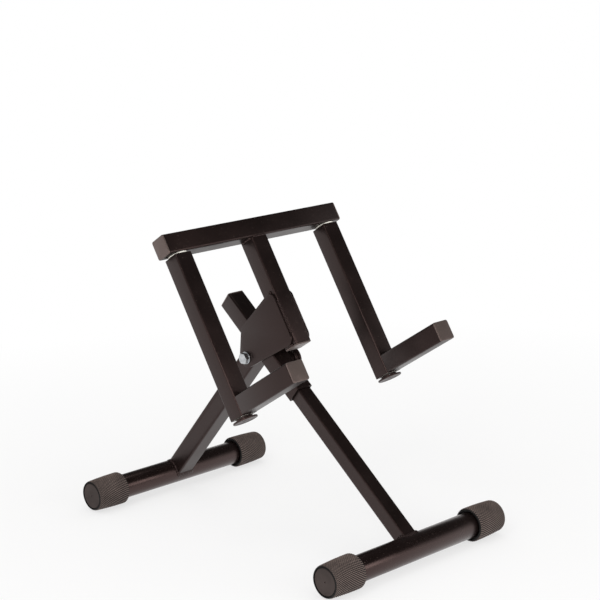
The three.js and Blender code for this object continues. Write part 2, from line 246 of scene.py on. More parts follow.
def turned(profile: Profile, steps: int) -> BMesh:
    """A body turned about z.

    Args:
        profile: Radius and height pairs; it closes on the axis or on its first pair.
        steps: Faces round the axis.

    Returns:
        The mesh.
    """
    bm = bmesh.new()
    points = [bm.verts.new((radius, 0, height)) for radius, height in profile]
    edges = [bm.edges.new(pair) for pair in zip(points, points[1:])]
    bmesh.ops.spin(
        bm, geom=points + edges, cent=(0, 0, 0), axis=(0, 0, 1), dvec=(0, 0, 0),
        angle=FULL_TURN, steps=steps, use_merge=True, use_duplicate=False)
    return tidy(bm)


def ring_profile(outer: float, inner: float, low: float, high: float) -> Profile:
    """Profile of a plain ring."""
    return [(inner, low), (outer, low), (outer, high), (inner, high), (inner, low)]


def stretch_to(bm: BMesh, half: float, outline: Callable[[float], float], beyond: float = 0.0) -> BMesh:
    """Changes a turned body's round section to another outline.

    Args:
        bm: The turned body.
        half: The round section's radius that becomes the outline itself.
        outline: Distance of the outline from the axis, by direction.
        beyond: Points nearer to the axis than this stay round.

    Returns:
        The same mesh.
    """
    for vert in bm.verts:
        radius = math.hypot(vert.co.x, vert.co.y)
        if radius > beyond:
            stretch = outline(math.atan2(vert.co.y, vert.co.x)) / half
            vert.co.x *= stretch
            vert.co.y *= stretch
    return bm


def arc(x: float, y: float, radius: float, first: float, last: float, count: int) -> Profile:
    """Points on an arc.

    Args:
        x: Place of its centre across.
        y: Place of its centre up.
        radius: Its radius.
        first: Angle of its first point in degrees.
        last: Angle of its last point in degrees.
        count: Number of steps along it.

    Returns:
        The points.
    """
    angles = [math.radians(first + (last - first) * step / count) for step in range(count + 1)]
    return [(x + radius * math.cos(angle), y + radius * math.sin(angle)) for angle in angles]


def square_face(bm: BMesh, size: float, corner: float, segments: int = 6) -> None:
    """Draws a rounded square about the origin in the plane z = 0."""
    made = bmesh.ops.create_grid(bm, x_segments=1, y_segments=1, size=size / 2)
    bmesh.ops.bevel(
        bm, geom=made["verts"], offset=corner, offset_type="OFFSET", segments=segments,
        profile=0.5, affect="VERTICES", clamp_overlap=False, material=-1)


def raised(bm: BMesh, height: float) -> list[BMVert]:
    """Extrudes all of a flat mesh along z.

    Args:
        bm: The flat mesh.
        height: How far.

    Returns:
        The raised points.
    """
    made = bmesh.ops.extrude_face_region(bm, geom=bm.faces[:])
    verts = [item for item in made["geom"] if isinstance(item, BMVert)]
    bmesh.ops.translate(bm, verts=verts, vec=(0, 0, height))
    return verts


@dataclass(frozen=True)
class SquareStock:
    """Square steel tube."""

    size: float
    wall: float
    corner: float
    saw_edge: float = 0.3

    def length(self, low: float, high: float, cuts: int = 0) -> BMesh:
        """A length of tube along z.

        Args:
            low: Height of the lower end.
            high: Height of the upper end.
            cuts: Extra lines along each flat side, for an end that is shaped.

        Returns:
            The mesh.
        """
        bm = bmesh.new()
        square_face(bm, self.size, self.corner)
        band = bmesh.ops.inset_region(
            bm, faces=bm.faces[:], thickness=self.wall, use_boundary=True, use_even_offset=True)
        kept = set(band["faces"])
        bmesh.ops.delete(bm, geom=[face for face in bm.faces if face not in kept], context="FACES_ONLY")
        if cuts:
            flats = [edge for edge in bm.edges if edge.calc_length() > self.size / 2]
            bmesh.ops.subdivide_edges(bm, edges=flats, cuts=cuts, use_grid_fill=True)
        raised(bm, high - low)
        bmesh.ops.translate(bm, verts=bm.verts[:], vec=(0, 0, low))
        return tidy(bm)

    def cut_length(self, low: float, high: float) -> BMesh:
        """A length of tube along z with both ends sawn square and deburred."""
        return ease(self.length(low, high), self.saw_edge)

    def coped_length(self, bar_radius: float, high: float) -> BMesh:
        """A length of tube whose lower end fits round a bar along x.

        Args:
            bar_radius: Radius of the bar, whose axis passes through the origin.
            high: Height of the upper end.

        Returns:
            The mesh.
        """
        bm = self.length(0, high, cuts=8)
        for vert in bm.verts:
            if vert.co.z < high / 2:
                vert.co.z = math.sqrt(max(0.0, bar_radius ** 2 - vert.co.y ** 2))
        return ease(bm, self.saw_edge, chosen=lambda edge: min(v.co.z for v in edge.verts) > high - 1)


@dataclass(frozen=True)
class SquarePlug:
    """Moulded end plug: a domed flange above z = 0 and a finned insert below it."""

    flange: float = 2.6
    edge: float = 1.1
    crown: float = 0.7
    insert: float = 9.0
    fin: float = 0.3
    fins: int = 3
    lead_in: float = 0.8
    foot_edge: float = 0.25
    slack: float = 0.6
    steps: int = 160
    rings: int = 8

    def mesh(self, size: float, corner: float, insert_size: float) -> BMesh:
        """Draws the plug.

        Args:
            size: Width of the flange.
            corner: Radius of the flange's corners.
            insert_size: Width of the insert over its fins.

        Returns:
            The mesh.
        """
        half = size / 2
        shoulder = self.flange - self.crown
        face = half - self.edge
        profile = self._insert_profile(insert_size / 2)
        profile += [(half - self.foot_edge, 0), (half, self.foot_edge)]
        profile += arc(face, shoulder - self.edge, self.edge, 0, 90, 5)
        profile += [(face * (1 - ring / self.rings), shoulder) for ring in range(1, self.rings + 1)]
        bm = stretch_to(turned(profile, self.steps), half, outline_square(half, corner))
        for vert in bm.verts:
            if vert.co.z > shoulder - MERGE_DISTANCE:
                across = max(0.0, 1 - (vert.co.x / face) ** 2)
                along = max(0.0, 1 - (vert.co.y / face) ** 2)
                vert.co.z = shoulder + self.crown * across * along
        return bm

    def _insert_profile(self, outer: float) -> Profile:
        """The insert's profile, from its tip up to the flange."""
        tip = -self.insert
        profile = [(0, tip), (outer - self.lead_in, tip)]
        pitch = (self.insert - self.lead_in) / self.fins
        for number in range(self.fins):
            foot = tip + self.lead_in + number * pitch
            profile += [(outer, foot), (outer, foot + pitch / 3), (outer - self.fin, foot + pitch / 2)]
        profile.append((outer - self.fin, 0))
        return profile


@dataclass(frozen=True)
class WeldBead:
    """A laid bead of weld with the ripples of its puddles."""

    radius: float = 2.2
    ripple: float = 0.2
    pitch: float = 2.6
    wander: float = 0.25
    wander_length: float = 5.0
    leg_overlap: float = 0.25
    boss_overlap: float = 0.2

    def swell(self, along: float, seed: float) -> float:
        """The bead's radius at a distance along the seam."""
        phase = math.sin(math.pi * along / self.pitch)
        uneven = noise.noise(Vector((along / self.wander_length, seed, 0)))
        return self.radius * (1 - self.ripple + 2 * self.ripple * abs(phase) + self.wander * uneven)

    def round_leg(self, size: float, corner: float, bar_radius: float) -> BMesh:
        """The seam between a square leg and the round bar that it stands on.

        Args:
            size: Width of the leg.
            corner: Radius of its corners.
            bar_radius: Radius of the bar, whose axis passes through the origin along x.

        Returns:
            The mesh.
        """
        outline = outline_square(size / 2, corner)
        bm = self._hoop(size)
        for vert in bm.verts:
            angle = math.atan2(vert.co.y, vert.co.x)
            swell = self.swell(angle * size * 2 / math.pi, size)
            reach = outline(angle) + (math.hypot(vert.co.x, vert.co.y) - size + self.leg_overlap) * swell
            height = vert.co.z * swell
            x, y = reach * math.cos(angle), reach * math.sin(angle)
            vert.co = Vector((x, y, math.sqrt(max(0.0, bar_radius ** 2 - y ** 2)) + height))
        return bm

    def round_boss(self, boss_radius: float, foot: float) -> BMesh:
        """The seam round a turned boss that stands on a flat face at a height along z."""
        bm = self._hoop(boss_radius)
        for vert in bm.verts:
            angle = math.atan2(vert.co.y, vert.co.x)
            swell = self.swell(angle * boss_radius, boss_radius)
            across = math.hypot(vert.co.x, vert.co.y) - boss_radius + self.boss_overlap
            reach = boss_radius + across * swell
            vert.co = Vector((reach * math.cos(angle), reach * math.sin(angle), foot + vert.co.z * swell))
        return bm

    def straight(self, start: Vector, end: Vector, seed: float = 0.0) -> BMesh:
        """A straight run of bead with rounded ends.

        Args:
            start: Its first point.
            end: Its last point.
            seed: Number that its unevenness starts from.

        Returns:
            The mesh.
        """
        run = end - start
        stations = max(8, round(4 * run.length / self.pitch))
        profile = [(0.0, 0.0)]
        for station in range(1, stations):
            along = run.length * station / stations
            near_end = min(along, run.length - along) / self.radius
            taper = math.sqrt(max(0.0, 1 - (1 - min(1.0, near_end)) ** 2))
            profile.append((self.swell(along, seed) * taper, along))
        profile.append((0.0, run.length))
        bm = turned(profile, 12)
        bm.transform(aimed(start, run))
        return bm

    def _hoop(self, radius: float) -> BMesh:
        """A ring of unit thickness about z."""
        bm = bmesh.new()
        upright = Matrix.Translation((radius, 0, 0)) @ Matrix.Rotation(math.pi / 2, 4, "X")
        bmesh.ops.create_circle(bm, cap_ends=False, segments=12, radius=1, matrix=upright)
        bmesh.ops.spin(
            bm, geom=bm.verts[:] + bm.edges[:], cent=(0, 0, 0), axis=(0, 0, 1), dvec=(0, 0, 0),
            angle=FULL_TURN, steps=144, use_merge=True, use_duplicate=False)
        return tidy(bm)


def joined(*parts: BMesh) -> BMesh:
    """Several meshes as one."""
    whole = bmesh.new()
    for part in parts:
        carrier = bpy.data.meshes.new("part")
        part.to_mesh(carrier)
        whole.from_mesh(carrier)
        bpy.data.meshes.remove(carrier)
        part.free()
    return whole


def drilled(bm: BMesh, *cutters: BMesh) -> BMesh:
    """Takes cutters out of a mesh.

    Args:
        bm: The mesh, in millimetres.
        cutters: Closed meshes to take away.

    Returns:
        A new mesh.
    """
    scene = bpy.context.scene
    bodies = []
    for index, part in enumerate((bm, *cutters)):
        mesh = bpy.data.meshes.new(f"drilling_{index}")
        part.to_mesh(mesh)
        part.free()
        body = bpy.data.objects.new(mesh.name, mesh)
        scene.collection.objects.link(body)
        bodies.append(body)
    blank = bodies[0]
    for cutter in bodies[1:]:
        modifier = blank.modifiers.new(cutter.name, "BOOLEAN")
        modifier.object = cutter
        modifier.operation = "DIFFERENCE"
        modifier.solver = "EXACT"
    bpy.context.view_layer.update()
    cut = bmesh.new()
    cut.from_object(blank, bpy.context.evaluated_depsgraph_get())
    for body in bodies:
        mesh = body.data
        bpy.data.objects.remove(body)
        bpy.data.meshes.remove(mesh)
    return cut


def aimed(start: Vector, run: Vector) -> Matrix:
    """Puts a body drawn along z at a point, pointing along a run."""
    return Matrix.Translation(start) @ run.to_track_quat("Z", "Y").to_matrix().to_4x4()


def rod(radius: float, start: Vector, end: Vector, steps: int = 64) -> BMesh:
    """A plain cutter rod between two points."""
    run = end - start
    bm = turned([(0, 0), (radius, 0), (radius, run.length), (0, run.length)], steps)
    bm.transform(aimed(start, run))
    return bm


# ---------------------------------------------------------------- node graphs

class Graph:
    """Short calls for adding and linking nodes in one tree."""

    def __init__(self, tree: bpy.types.NodeTree) -> None:
        """Works on a tree."""
        self.tree = tree

    def add(self, kind: str, **settings: object) -> bpy.types.Node:
        """Adds a node.

        Args:
            kind: The node's type, without its common prefix.
            settings: Its properties by name.

        Returns:
            The node.
        """
        node = self.tree.nodes.new("ShaderNode" + kind)
        for key, value in settings.items():
            setattr(node, key, value)
        return node

    def feed(self, node: bpy.types.Node, **inputs: object) -> bpy.types.Node:
        """Sets or links a node's inputs.

        Args:
            node: The node.
            inputs: A socket to link or a value to set, by input name with underscores.

        Returns:
            The same node.
        """
        for key, value in inputs.items():
            self.put(value, node.inputs[key.replace("_", " ")])
        return node

    def put(self, value: object, socket: bpy.types.NodeSocket) -> None:
        """Links a socket to an input, or sets the input to a number or colour.

        Args:
            value: What goes in.
            socket: The input.
        """
        if isinstance(value, bpy.types.NodeSocket):
            self.tree.links.new(value, socket)
        else:
            socket.default_value = value

    def math(self, operation: str, first: object, second: object = 0.0) -> bpy.types.NodeSocket:
        """One arithmetic step on two sockets or numbers.

        Args:
            operation: The step.
            first: Its first term.
            second: Its second term.

        Returns:
            The result.
        """
        node = self.add("Math", operation=operation)
        for socket, value in zip(node.inputs, (first, second)):
            self.put(value, socket)
        return node.outputs[0]

    def ramp(self, value: bpy.types.NodeSocket, low: float, high: float) -> bpy.types.NodeSocket:
        """Stretches a range of a value to 0..1 and clamps it.

        Args:
            value: The value.
            low: What becomes 0.
            high: What becomes 1.

        Returns:
            The result.
        """
        node = self.add("MapRange", clamp=True)
        self.feed(node, Value=value, From_Min=low, From_Max=high)
        return node.outputs["Result"]

    def blend(self, factor: object, first: object, second: object) -> bpy.types.NodeSocket:
        """Mixes two colours.

        Args:
            factor: How much of the second.
            first: The first colour.
            second: The second colour.

        Returns:
            The mixed colour.
        """
        node = self.add("Mix", data_type="RGBA")
        for index, value in ((0, factor), (6, first), (7, second)):
            self.put(value, node.inputs[index])
        return node.outputs[2]


class Effects:
    """The surface effects that the finishes share, each a node group built once."""

    def __init__(self) -> None:
        """Builds the groups."""
        self.peel = self._peel()
        self.dust = self._dust()
        self.scuffs = self._scuffs()
        self.mottle = self._mottle()

    @staticmethod
    def _group(name: str, inputs: dict[str, float], output: str) -> tuple[Graph, object, object]:
        """Starts a group.

        Args:
            name: Its name.
            inputs: Its number inputs and their usual values.
            output: Its one output.

        Returns:
            Its graph, its input node and its output node.
        """
        tree = bpy.data.node_groups.new(name, "ShaderNodeTree")
        for label, value in inputs.items():
            socket = tree.interface.new_socket(label, in_out="INPUT", socket_type="NodeSocketFloat")
            socket.default_value = value
        tree.interface.new_socket(output, in_out="OUTPUT", socket_type="NodeSocketFloat")
        graph = Graph(tree)
        return graph, tree.nodes.new("NodeGroupInput"), tree.nodes.new("NodeGroupOutput")

    def _peel(self) -> bpy.types.NodeTree:
        """Orange peel of a sprayed or moulded skin, as a height."""
        graph, given, out = self._group("orange_peel", {"Scale": 900.0, "Fine": 0.35}, "Height")
        place = graph.add("TexCoord").outputs["Object"]
        swell = graph.feed(graph.add("TexNoise"), Vector=place, Scale=given.outputs["Scale"], Detail=1.0)
        finer = graph.math("MULTIPLY", given.outputs["Scale"], 3.1)
        grain = graph.feed(graph.add("TexNoise"), Vector=place, Scale=finer, Detail=2.0)
        fine = graph.math("MULTIPLY", grain.outputs["Fac"], given.outputs["Fine"])
        graph.feed(out, Height=graph.math("ADD", swell.outputs["Fac"], fine))
        return graph.tree

    def _dust(self) -> bpy.types.NodeTree:
        """Specks of dust, thickest on faces that look up."""
        graph, given, out = self._group("dust_specks", {"Scale": 420.0, "Amount": 0.5}, "Mask")
        place = graph.add("TexCoord").outputs["Object"]
        cells = graph.feed(graph.add("TexVoronoi"), Vector=place, Scale=given.outputs["Scale"])
        parts = graph.feed(graph.add("SeparateColor"), Color=cells.outputs["Color"])
        share = graph.math("MULTIPLY", given.outputs["Amount"], 0.1)
        chance = graph.math("LESS_THAN", parts.outputs["Red"], share)
        spot = graph.ramp(cells.outputs["Distance"], 0.24, 0.1)
        facing = graph.feed(graph.add("SeparateXYZ"), Vector=graph.add("NewGeometry").outputs["Normal"])
        upward = graph.ramp(facing.outputs["Z"], -0.3, 0.7)
        specks = graph.math("MULTIPLY", graph.math("MULTIPLY", chance, spot), upward)
        graph.feed(out, Mask=specks)
        return graph.tree

    def _scuffs(self) -> bpy.types.NodeTree:
        """Sparse rubbed patches and short scratches."""
        graph, given, out = self._group("scuffs", {"Scale": 60.0, "Amount": 0.5}, "Mask")
        place = graph.add("TexCoord").outputs["Object"]
        patches = graph.feed(
            graph.add("TexNoise"), Vector=place, Scale=given.outputs["Scale"], Detail=5.0, Roughness=0.7)
        finer = graph.math("MULTIPLY", given.outputs["Scale"], 9.0)
        streaks = graph.feed(
            graph.add("TexNoise"), Vector=place, Scale=finer, Detail=2.0, Distortion=1.6)
        rubbed = graph.math("MULTIPLY", graph.ramp(patches.outputs["Fac"], 0.52, 0.72),
                            graph.ramp(streaks.outputs["Fac"], 0.45, 0.7))
        graph.feed(out, Mask=graph.math("MULTIPLY", rubbed, given.outputs["Amount"]))
        return graph.tree

    def _mottle(self) -> bpy.types.NodeTree:
        """Slow change of tone over a surface, from 0 to 1."""
        graph, given, out = self._group("mottle", {"Scale": 18.0}, "Tone")
        place = graph.add("TexCoord").outputs["Object"]
        clouds = graph.feed(graph.add("TexNoise"), Vector=place, Scale=given.outputs["Scale"], Detail=4.0)
        graph.feed(out, Tone=graph.ramp(clouds.outputs["Fac"], 0.3, 0.7))
        return graph.tree


def place_group(graph: Graph, group: bpy.types.NodeTree, **inputs: float) -> bpy.types.NodeSocket:
    """Places a shared effect in a material.

    Args:
        graph: The material's graph.
        group: The effect.
        inputs: Its values here.

    Returns:
        The effect's output.
    """
    node = graph.add("Group", node_tree=group)
    graph.feed(node, **inputs)
    return node.outputs[0]


def begun(name: str) -> tuple[bpy.types.Material, Graph, bpy.types.Node]:
    """A new material, its graph and its surface shader."""
    made = bpy.data.materials.new(name)
    made.use_nodes = True
    return made, Graph(made.node_tree), made.node_tree.nodes["Principled BSDF"]


def bumped(
    graph: Graph, skin: bpy.types.NodeTree, scale: float, fine: float, height: float
) -> bpy.types.NodeSocket:
    """The normal of a fine skin.

    Args:
        graph: The material's graph.
        skin: The skin's group.
        scale: How fine its swells are.
        fine: Share of its finer grain.
        height: Its height in millimetres.

    Returns:
        The normal.
    """
    relief = place_group(graph, skin, Scale=scale, Fine=fine)
    bump = graph.feed(graph.add("Bump"), Height=relief, Distance=height * MM, Strength=1.0)
    return bump.outputs["Normal"]


def tone(red: int, green: int, blue: int) -> Color:
    """A colour from its values on a screen, 0 to 255."""
    def linear(value: int) -> float:
        """One channel as light."""
        share = value / 255
        return share / 12.92 if share <= 0.04045 else ((share + 0.055) / 1.055) ** 2.4
    return linear(red), linear(green), linear(blue), 1.0


# ---------------------------------------------------------------- finishes

class Slot(Enum):
    """The record's material slots."""

    TUBE = "powder_coated_tube"
    FOOT = "foot_bar_tube"
    CAP = "cap_rubber"
    PLUG = "plug_plastic"
    KNOB = "knob_plastic"
    NYLON = "bush_nylon"
    ZINC = "zinc_fastener"


@dataclass(frozen=True)
class CoatFinish:
    """Powder coat or moulded plastic: a tone that drifts, a fine skin, dust and rubbed spots."""

    slot: Slot
    name: str
    dark: Color
    light: Color
    dusty: Color
    roughness: float
    rough_spread: float
    peel_scale: float
    peel_height: float
    dust: float = 0.5
    scuff: float = 0.35
    gloss: float = 0.42
    tint: Color = (1.0, 0.68, 0.64, 1.0)

    def material(self, effects: Effects) -> bpy.types.Material:
        """Builds the material.

        Args:
            effects: The shared effects.

        Returns:
            The material.
        """
        made, graph, shader = begun(self.name)
        drift = place_group(graph, effects.mottle, Scale=22.0)
        specks = place_group(graph, effects.dust, Scale=800.0, Amount=self.dust)
        rubbed = place_group(graph, effects.scuffs, Scale=48.0, Amount=self.scuff)
        base = graph.blend(drift, self.dark, self.light)
        worn = graph.blend(rubbed, base, self.light)
        color = graph.blend(specks, worn, self.dusty)
        rough = graph.math("ADD", graph.math("MULTIPLY", drift, self.rough_spread), self.roughness)
        rough = graph.math("ADD", rough, graph.math("MULTIPLY", rubbed, 0.12))
        skin = bumped(graph, effects.peel, self.peel_scale, 0.3, self.peel_height)
        graph.feed(shader, Base_Color=color, Roughness=rough, Normal=skin)
        shader.inputs["Specular IOR Level"].default_value = self.gloss
        shader.inputs["Specular Tint"].default_value = self.tint
        return made


@dataclass(frozen=True)
class RubberFinish:
    """Ribbed rubber with painted shade and a painted highlight: its grooves, rims and recesses are painted
    near black as shade, and its crests paler as highlight.
    """

    slot: Slot
    name: str
    # groove is the painted shade colour of the grooves, rims and recesses; crest_highlight is the painted
    # highlight colour of the crests.
    groove: Color
    crest_highlight: Color
    face: Color
    dusty: Color
    roughness: float

    def material(self, effects: Effects) -> bpy.types.Material:
        """Builds the material.

        Args:
            effects: The shared effects.

        Returns:
            The material.
        """
        made, graph, shader = begun(self.name)
        relief, smooth = (
            graph.add("Attribute", attribute_name=name, attribute_type="GEOMETRY").outputs["Fac"]
            for name in ("relief", "smooth_face")
        )
        # Painted shade and highlight: relief picks the dark groove colour low in the ribs, on the rims and
        # in recesses, and the pale crest colour on the crests.
        ribs = graph.blend(graph.ramp(relief, 0.3, 0.8), self.groove, self.crest_highlight)
        moulded = graph.blend(smooth, ribs, self.face)
        drift = place_group(graph, effects.mottle, Scale=40.0)
        deep = graph.blend(graph.math("MULTIPLY", drift, 0.35), moulded, self.groove)
        specks = place_group(graph, effects.dust, Scale=600.0, Amount=0.35)
        color = graph.blend(specks, deep, self.dusty)
        rough = graph.math("ADD", graph.math("MULTIPLY", drift, 0.08), self.roughness)
        skin = bumped(graph, effects.peel, 1500.0, 0.5, 0.05)
        graph.feed(shader, Base_Color=color, Roughness=rough, Normal=skin)
        shader.inputs["Specular IOR Level"].default_value = 0.35
        return made


@dataclass(frozen=True)
class ZincFinish:
    """Bright zinc plate with faint cloudiness."""

    slot: Slot
    name: str
    bright: Color
    dull: Color
    roughness: float

    def material(self, effects: Effects) -> bpy.types.Material:
        """Builds the material.

        Args:
            effects: The shared effects.

        Returns:
            The material.
        """
        made, graph, shader = begun(self.name)
        drift = place_group(graph, effects.mottle, Scale=160.0)
        rubbed = place_group(graph, effects.scuffs, Scale=220.0, Amount=0.8)
        color = graph.blend(drift, self.bright, self.dull)
        rough = graph.math("ADD", graph.math("MULTIPLY", drift, 0.14), self.roughness)
        rough = graph.math("ADD", rough, graph.math("MULTIPLY", rubbed, 0.15))
        skin = bumped(graph, effects.peel, 2600.0, 0.5, 0.01)
        graph.feed(shader, Base_Color=color, Roughness=rough, Normal=skin)
        shader.inputs["Metallic"].default_value = 1.0
        return made


TUBE_COAT = CoatFinish(
    Slot.TUBE, "satin_black_coat", dark=tone(16, 11, 10), light=tone(24, 17, 16), dusty=tone(120, 108, 100),
    roughness=0.31, rough_spread=0.08, peel_scale=1100.0, peel_height=0.02)
WELD_COAT = CoatFinish(
    Slot.TUBE, "coated_weld", dark=tone(18, 13, 12), light=tone(34, 26, 25), dusty=tone(150, 138, 130),
    roughness=0.2, rough_spread=0.12, peel_scale=500.0, peel_height=0.16, dust=0.6)
FOOT_COAT = CoatFinish(
    Slot.FOOT, "glossy_black_coat", dark=tone(14, 9, 8), light=tone(20, 14, 13), dusty=tone(120, 106, 100),
    roughness=0.22, rough_spread=0.08, peel_scale=1000.0, peel_height=0.015, dust=0.7, gloss=0.75)
# groove is painted shade and crest_highlight a painted highlight on the ribbed rubber.
CAP_RUBBER = RubberFinish(
    Slot.CAP, "ribbed_rubber", groove=tone(8, 5, 5), crest_highlight=tone(116, 101, 95), face=tone(62, 52, 49),
    dusty=tone(150, 142, 136), roughness=0.72)
PLUG_PLASTIC = CoatFinish(
    Slot.PLUG, "moulded_grey_plastic", dark=tone(70, 62, 59), light=tone(80, 72, 68),
    dusty=tone(150, 144, 140),
    roughness=0.28, rough_spread=0.1, peel_scale=1500.0, peel_height=0.03, dust=0.25, gloss=0.7)
KNOB_PLASTIC = CoatFinish(
    Slot.KNOB, "moulded_black_plastic", dark=tone(30, 24, 23), light=tone(40, 32, 31),
    dusty=tone(130, 120, 114),
    roughness=0.34, rough_spread=0.1, peel_scale=1400.0, peel_height=0.03, dust=0.3)
BUSH_NYLON = CoatFinish(
    Slot.NYLON, "natural_nylon", dark=tone(205, 202, 192), light=tone(222, 219, 210),
    dusty=tone(150, 145, 138),
    roughness=0.5, rough_spread=0.08, peel_scale=1300.0, peel_height=0.02, dust=0.3, scuff=0.15,
    tint=(1.0, 1.0, 1.0, 1.0))
ZINC_PLATE = ZincFinish(
    Slot.ZINC, "bright_zinc_plate", bright=tone(206, 208, 210), dull=tone(170, 173, 176), roughness=0.24)

FINISHES = (TUBE_COAT, WELD_COAT, FOOT_COAT, CAP_RUBBER, PLUG_PLASTIC, KNOB_PLASTIC, BUSH_NYLON, ZINC_PLATE)
Finish = CoatFinish | RubberFinish | ZincFinish


class Workshop:
    """Turns drawn meshes into finished pieces of the stand."""

    def __init__(self) -> None:
        """Builds every finish's material."""
        self.places = Places()
        effects = Effects()
        self.materials = {finish.name: finish.material(effects) for finish in FINISHES}
        self.made: list[str] = []

    def piece(
        self, name: str, bm: BMesh, place: Matrix, body: str, finish: Finish, node: str | None = None
    ) -> bpy.types.Object:
        """Finishes a piece and puts it on its body.

        Args:
            name: The piece's name.
            bm: Its mesh in millimetres.
            place: From those millimetres to its place in metres.
            body: The body that it moves with.
            finish: Its finish.
            node: The node that it stands for, if any.

        Returns:
            The piece.
        """
        bm.transform(place)
        if place.determinant() < 0:
            bmesh.ops.reverse_faces(bm, faces=bm.faces[:])
        mesh = bpy.data.meshes.new(name)
        bm.to_mesh(mesh)
        bm.free()
        mesh.shade_smooth()
        mesh.set_sharp_from_angle(angle=SHARP_ANGLE)
        mesh.materials.append(self.materials[finish.name])
        piece = bpy.data.objects.new(name, mesh)
        bpy.context.scene.collection.objects.link(piece)
        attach(piece, body)
        if node:
            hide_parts(node)
        self.made.append(name)
        LOG.info("made %s (%d faces) on %s", name, len(mesh.polygons), body)
        return piece

    def stand_in(
        self, node: str, bm: BMesh, place: Matrix, body: str, finish: Finish
    ) -> bpy.types.Object:
        """Finishes a piece that takes a node's place, and is named after it."""
        return self.piece(f"{node}_finished", bm, place, body, finish, node)

    def plug(self, node: str, stock: SquareStock, seat: Matrix, place: Matrix, body: str) -> None:
        """Finishes the plug in a square tube's end.

        Args:
            node: The node whose place it takes.
            stock: The tube that it closes.
            seat: From the plug's own directions to the sub-assembly's.
            place: The sub-assembly's directions.
            body: The body that it moves with.
        """
        plug = SquarePlug()
        bm = plug.mesh(stock.size, stock.corner, stock.size - 2 * stock.wall - plug.slack)
        bm.transform(seat)
        self.stand_in(node, bm, place, body, PLUG_PLASTIC)


# ---------------------------------------------------------------- foot bars

